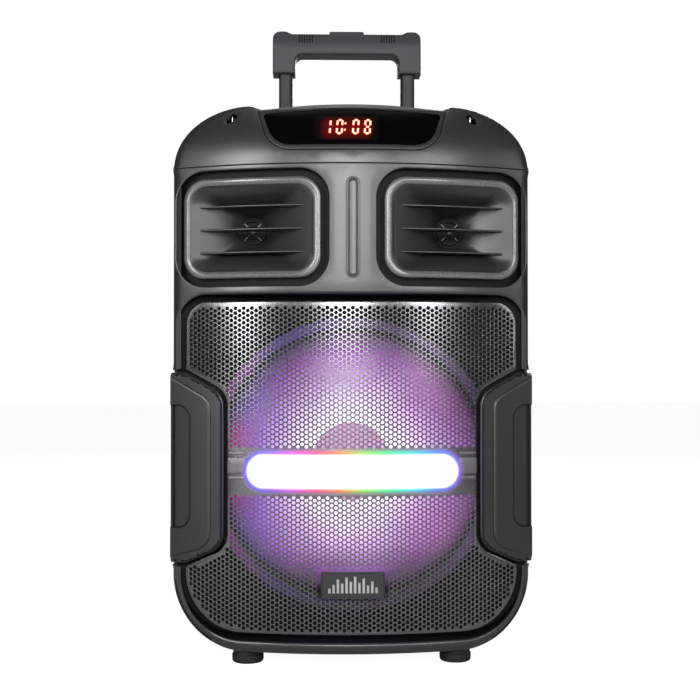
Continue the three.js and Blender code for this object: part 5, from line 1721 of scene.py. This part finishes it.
def hub(shape):
    """A five-spoked hub: a rim, windows between the spokes, and a boss round the axle."""
    h = 14.0
    centre = (WHEEL_X, WHEEL_Y, WHEEL_R)
    rim = [(30.6, -h + 1), (30.6, h - 1), (30.1, h - 0.4), (29.2, h - 0.6), (28.2, h - 2.4), (27.2, h - 4),
           (27.2, -h + 4), (28.2, -h + 2.4), (29.2, -h + 0.6), (30.1, -h + 0.4)]
    shape.lathe(rim, "x", centre, segments=96)
    boss = [(5.5, -h - 1), (11, -h - 1), (12, -h), (12, h), (11, h + 1), (5.5, h + 1)]
    shape.lathe(boss, "x", centre, segments=64)
    windows = []
    for k in range(5):
        a0, a1 = math.radians(72 * k + 14), math.radians(72 * k + 58)
        outer = [(26.0, a0 + (a1 - a0) * i / 8) for i in range(9)]
        inner = [(14.5, a1 - 0.16 + (a0 + 0.16 - a1 + 0.16) * i / 4) for i in range(5)]
        corners = [(WHEEL_Y + r * math.cos(a), WHEEL_R + r * math.sin(a), 0) for r, a in (*outer, *inner)]
        windows.append(Outline(corners, edge_step=6))
    outline = Outline(box2(WHEEL_Y - 28, WHEEL_R - 28, WHEEL_Y + 28, WHEEL_R + 28, 27.99), arc_step=6)
    bore = Outline(box2(WHEEL_Y - 11, WHEEL_R - 11, WHEEL_Y + 11, WHEEL_R + 11, 10.99), arc_step=8)
    for face in (1, -1):
        place = lambda p, depth=0.0, face=face: np.column_stack([np.full(len(p),
                                                                         WHEEL_X + face * (h - 5.5)) - face
                                                                         * depth, p[:, 0], p[:, 1]])
        shape.patch(place, outline.ring(0), [bore.ring(0), *[w.ring(-0.8) for w in windows]], step=(6, 6))
        for window in windows:
            shape.rim(place, window, ((-0.8, 0), (-0.2, 0.3), (0, 1.0), (0, h - 5.5)))


def add_wheels(mats):
    for side, flip in (("right", False), ("left", True)):
        body = f"wheel_{side}"
        for build, name, material, node, slot in ((tyre, "tread", "tyre", "tyre", "tyre"),
                                                  (hub, "spokes", "dark", "wheel_hub", "trim")):
            shape = Shape()
            build(shape)
            shape.object(f"{name}_{side}", mats[material], body=body, replaces=f"{node}_{side}", slot=slot,
                         mirror=flip)
    shape = Shape()
    end = WHEEL_X + 15.6
    profile = [(0, end + 3.5), (4, end + 3.4), (7.6, end + 2.8), (8.8, end + 1.6), (9, end + 0.4), (9, end),
               (5, end), (5, 0)]
    shape.lathe(profile, "x", (0, WHEEL_Y, WHEEL_R), segments=48, closed=False)
    shape.lathe([(r, -x) for r, x in profile], "x", (0, WHEEL_Y, WHEEL_R), segments=48, closed=False)
    shape.object("axle_rod", mats["steel"], replaces="wheel_axle", slot="steel")


# ---------------------------------------------------------------- the rear cabinet and what is on it
CABINET_STATIONS = [(10, 0, 0), (32, 1.0, 0.2), (55, 3, 1), (78, 6, 1.8), (100, 10, 3), (122, 15, 4.6),
                    (138, 19, 5.8), (144, 21.5, 7.4), (147.6, 24.6, 9.8), (150, 29, 13)]
PORT_Z, PORT_R = 420.0, 31.0
PANEL = box2(-95, 122, 95, 262, 8)
PANEL_FACE = 152.6
SWITCH_X, SWITCH_Y, SWITCH_Z = 66.0, 149.8, 235.0
INLET = box2(-80, 222, -48, 246, 3)


def cabinet_shell(wall, front, back_cut):
    """A closed body of the cabinet's cross-sections, each set in by the wall."""
    shape = Shape()
    rows = []
    stations = [(front, 0.8, 0.8), (front + 0.8, 0.0, 0.0)] if wall == 0 else [(front, 0, 0)]
    stations += [(y - (back_cut if y > 139 else 0), taper, rise) for y, taper, rise in CABINET_STATIONS]
    for y, taper, rise in stations:
        half = HALF_WIDTH - taper - wall
        low = FLOOR_GAP + rise + wall
        top = SEAM_Z - 0.4 if wall == 0 else SEAM_Z + 20
        outline = Outline([(-half, low, CORNER_R - wall), (half, low, CORNER_R - wall), (half, top, 0),
                           (-half, top, 0)])
        if not rows:
            first = outline
        rows.append(on_plane(y)(like(first, outline.corners).ring(0)))
    shape.bands(rows)
    for row in (rows[0], rows[-1]):
        shape.add(row, [list(range(len(row)))])
    return shape


def tool(shape, name):
    """A closed object for cutting, which rides on nothing and is removed after use."""
    mesh = bpy.data.meshes.new(name)
    mesh.from_pydata((np.vstack(shape.points) * MM).tolist(), [], shape.faces)
    work = bmesh.new()
    work.from_mesh(mesh)
    bmesh.ops.remove_doubles(work, verts=work.verts, dist=1e-6)
    bmesh.ops.recalc_face_normals(work, faces=work.faces)
    work.to_mesh(mesh)
    work.free()
    made = bpy.data.objects.new(name, mesh)
    bpy.context.scene.collection.objects.link(made)
    return made


def prism(place, outline, near, far):
    """A closed prism of an outline between two depths."""
    shape = Shape()
    rows = [place(outline.ring(0), near), place(outline.ring(0), far)]
    shape.bands(rows)
    for row in rows:
        shape.add(row, [list(range(len(row)))])
    return shape


def well_tool(sign, grow):
    """The room round a wheel, open below and behind."""
    side = WHEEL_X - 14 - 3.5 - grow
    radius = 50 + grow
    arc = [(WHEEL_Y + radius * math.cos(a), WHEEL_R + radius * math.sin(a))
           for a in np.linspace(math.pi / 2, math.pi, 14)]
    corners = [(200, WHEEL_R + radius), *arc, (WHEEL_Y - radius, -5), (200, -5)]
    outline = Outline([(y, z, 0) for y, z in corners], edge_step=500)
    return tool(prism(lambda p, d=0.0: np.column_stack([np.full(len(p), sign * d), p[:, 0], p[:, 1]]),
                      outline, side, 200), "well")


def disc(x, z, r):
    return Outline(box2(x - r, z - r, x + r, z + r, r - 0.01), arc_step=6)


def add_rear_cabinet(mats):
    outer = tool(cabinet_shell(0, PARTING_Y + 0.3, 0), "rear_shell")
    inner = tool(cabinet_shell(4, PARTING_Y - 20, 4), "hollow")
    grip_bed = [(-130.3, 101.2, 0), (-9.7, 132.7, 20), (-9.7, 265.3, 20), (-130.3, 297.3, 0)]
    wells, beds, inner_wells, inner_beds = [], [], [], []
    for sign in (1, -1):
        wells.append(well_tool(sign, 0))
        inner_wells.append(well_tool(sign, 3.5))
        beds.append(tool(prism(on_side(0, sign), Outline(grip_bed), -200, -181), "bed"))
        inner_beds.append(tool(prism(on_side(0, sign), Outline(inset(grip_bed, -3.2)), -200, -177.5),
                               "bed"))
    cut(inner, *inner_wells, *inner_beds)
    port = tool(prism(on_plane(0), disc(0, PORT_Z, PORT_R + 1.5), 60, 170), "port")
    panel = tool(prism(on_plane(0), Outline(PANEL, arc_step=15), 120, 170), "panel")
    cut(outer, inner, *wells, *beds, port, panel)
    outer.data.materials.clear()
    outer.data.materials.append(mats["shell"])
    bevel = outer.modifiers.new("edges", "BEVEL")
    bevel.width, bevel.segments, bevel.limit_method = 0.6 * MM, 2, "ANGLE"
    bevel.angle_limit = math.radians(50)
    bake_modifiers(outer)
    smooth(outer, 30)
    outer.name = "rear_housing"
    finish(outer, CABINET, "rear_cabinet")
    add_port(mats)


def cut(made, *tools):
    """Cuts the tools out of an object and removes them."""
    for knife in tools:
        step = made.modifiers.new("cut", "BOOLEAN")
        step.operation, step.solver, step.object = "DIFFERENCE", "EXACT", knife
        bake_modifiers(made)
        bpy.data.objects.remove(knife)


def add_port(mats):
    """The flared tube of the bass port."""
    shape = Shape()
    r = PORT_R
    flare = [(r + 1.8, 149.6), (r + 1.6, 150.2), (r + 5.6, 150.2), (r + 5.9, 150.9), (r + 5.2, 151.6),
             (r + 3.4, 151.9), (r + 1.6, 151.2),
             (r + 0.5, 149.4), (r + 0.1, 146.6), (r, 142), (r, 120), (r, 100), (r + 0.4, 86), (r + 1.4, 82),
             (r + 3, 80), (r + 3, 84), (r + 3, 146), (r + 1.8, 149.6)]
    shape.lathe(flare, "y", (0, 0, PORT_Z), segments=96, closed=False)
    shape.object("port_tube", mats["dark"], slot="shell")


def screw(shape, x, z, y, r=3.6, slot=1):
    """A domed screw head with a cross recess, drawn as a black cross: painted shade in the recess."""
    shape.lathe([(r, y), (r, y + 0.8), (r * 0.8, y + 1.5), (r * 0.42, y + 1.8), (r * 0.40, y + 0.7),
                 (0, y + 0.6)], "y", (x, 0, z), 32, slot=slot, closed=False)
    for turn in (0, 1):
        a, b = (r * 0.62, 0.45) if turn else (0.45, r * 0.62)
        mark = Outline(box2(x - a, z - b, x + a, z + b, 0.2), arc_step=45)
        shape.levels(on_plane(y + 1.66), mark, [(0, -0.4), (0, 0.1)], slot=2)


def add_rear_panel(mats):
    shape = Shape()
    plate = Outline(inset(PANEL, -6), edge_step=9, arc_step=10)
    place = on_plane(0)
    switch_hole = Outline(box2(SWITCH_X - 11, SWITCH_Z - 8, SWITCH_X + 11, SWITCH_Z + 8, 1), edge_step=5,
                          arc_step=30)
    inlet_hole = Outline(inset(INLET, -0.3), edge_step=5, arc_step=15)
    shape.rim(place, plate, ((0, 150.3), (0, 151.8), (0.3, 152.3), (0.9, PANEL_FACE)))
    shape.patch(place, plate.ring(0.9), [switch_hole.ring(-3), inlet_hole.ring(-0.4)], step=(12, 12),
                depth=PANEL_FACE)
    shape.rim(place, inlet_hole, ((-0.4, PANEL_FACE), (0, 152.2), (0, 146)))
    shape.rim(place, switch_hole,
              ((-3, PANEL_FACE), (-3, 153.4), (-2.6, 153.9), (-1.6, 154), (-0.4, 154), (0, 153.6),
               (0, 146)))
    shape.patch(place, inset_ring(PANEL, 0.3), depth=146.9)
    for k in range(9):
        x = -58.5 + 12 * k
        fin = Outline(box2(x - 1.5, 128, x + 1.5, 190, 1.4), edge_step=12, arc_step=20)
        shape.levels(place, fin, [(-0.5, PANEL_FACE), (0, 153.4), (0.2, 156.8), (0.7, 157.5)])
    for x in (-95, 0, 95):
        for z in (121, 263):
            screw(shape, x, z, PANEL_FACE)
    for k in range(5):
        # Each vent is a flat black strip on the plate: painted shade in place of a slot through it.
        vent = Outline(box2(58 + 6 * k, 130, 60.6 + 6 * k, 186, 1.2), edge_step=12, arc_step=30)
        shape.levels(place, vent, [(0, 152.55), (0, 152.75), (0.3, 152.8)], slot=2)
    shape.object("amplifier_plate", [mats["dark"], mats["steel"], mats["black"]], replaces="rear_panel",
                 slot="trim")
    shape = Shape()
    body = Outline(INLET, edge_step=5, arc_step=15)
    hole = Outline(box2(-76, 225.5, -52, 242.5, 3), edge_step=5, arc_step=15)
    shape.rim(place, body, ((0, 128), (0, 153.2), (0.3, 153.8), (0.9, 154)))
    shape.slope(place, body.ring(0.9), 154, hole.ring(-0.6), 154)
    shape.rim(place, hole, ((-0.6, 154), (0, 153.2), (0.3, 139)))
    shape.patch(place, hole.ring(0.3), depth=139)
    for x in (-70.5, -64, -57.5):
        pin = Outline(box2(x - 1, 231.5, x + 1, 236.5, 0.3), arc_step=45)
        shape.levels(place, pin, [(0, 138.5), (0, 149.6), (0.4, 150)], slot=1)
    shape.object("mains_socket", [mats["black"], mats["steel"]], replaces="power_inlet", slot="trim")
    add_switch(mats)


def inset_ring(corners, d):
    return Outline(corners, edge_step=9, arc_step=10).ring(d)


def add_switch(mats):
    """The rocker, dished across and tipped to off, with a plain line and ring on its two halves."""
    shape = Shape()
    tip = math.radians(-10)
    xs = np.linspace(-10.4, 10.4, 9)
    profile = [(-3.4, -7.0), (3.2, -7.0), (3.6, -6.4), (3.0, -3.2), (2.5, 0), (3.0, 3.2), (3.6, 6.4),
               (3.2, 7.0), (-3.4, 7.0)]
    rows = []
    for x in xs:
        ends = 0.5 if abs(x) > 10 else 0.0
        row = []
        for y, z in profile:
            y -= ends if y > 0 else 0
            turned_y = y * math.cos(tip) - z * math.sin(tip)
            turned_z = y * math.sin(tip) + z * math.cos(tip)
            row.append((SWITCH_X + x, SWITCH_Y + turned_y, SWITCH_Z + turned_z))
        rows.append(np.array(row))
    shape.bands(rows)
    for row in (rows[0], rows[-1]):
        shape.add(row, [list(range(len(row)))])

    def on_rocker(points, depth=0.0):
        z = points[:, 1]
        y = 2.5 + 1.15 * (np.abs(z) / 6.4) ** 1.2 + 0.06 - depth
        return np.column_stack([SWITCH_X + points[:, 0], SWITCH_Y + y * math.cos(tip) - z * math.sin(tip),
                                SWITCH_Z + y * math.sin(tip) + z * math.cos(tip)])

    line = Outline(box2(-0.3, 2.6, 0.3, 5.2, 0), edge_step=2)
    shape.levels(on_rocker, line, [(0, 0.1), (0, 0)], slot=1)
    around = Outline(box2(-1.5, -5.4, 1.5, -2.4, 1.49), arc_step=20)
    shape.slope(on_rocker, around.ring(0), 0.0, around.ring(0.5), 0.0, slot=1)
    shape.object("rocker", [mats["black"], mats["print"]], body="power_switch", replaces="power_switch",
                 slot="trim")


# ---------------------------------------------------------------- CAD pieces that keep their shape
KEPT = {
    "light_bar_board": "board", "voice_coil": "copper", "woofer_spider": "spider",
    "woofer_top_plate": "steel",
    "woofer_magnet": "ferrite", "woofer_yoke": "steel", "display_module": "black", "control_board": "board",
    "amplifier_board": "board", "battery": "battery", "release_yoke": "steel",
}


def dress_kept(mats):
    for node, material in KEPT.items():
        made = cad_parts[node]
        made.data.materials.clear()
        made.data.materials.append(mats[material])


mats = make_materials()
add_camera()
add_stage()
add_baffle(mats)
add_grille(mats)
add_light_bar(mats)
add_badge(mats)
both_sides(side_grip, "cheek", mats["grip"], replaces="side_grip", slot="shell", angle=30, weld=0.02)
both_sides(foot, "rubber_foot", mats["rubber"], replaces="foot", slot="rubber")
both_sides(strap_pin, "strap_bar", mats["steel"], replaces="strap_pin", slot="steel")
both_sides(horn, "horn_flare", [mats["horn"], mats["bezel"]], replaces="horn", slot="trim", angle=24)
both_sides(tweeter, "tweeter_driver", [mats["black"], mats["horn"]], replaces="tweeter", slot="trim")
add_hood(mats)
add_control_panel(mats)
add_display(mats)
add_controls(mats)
add_sockets(mats)
add_woofer(mats)
add_handle(mats)
add_wheels(mats)
add_rear_cabinet(mats)
add_rear_panel(mats)
dress_kept(mats)
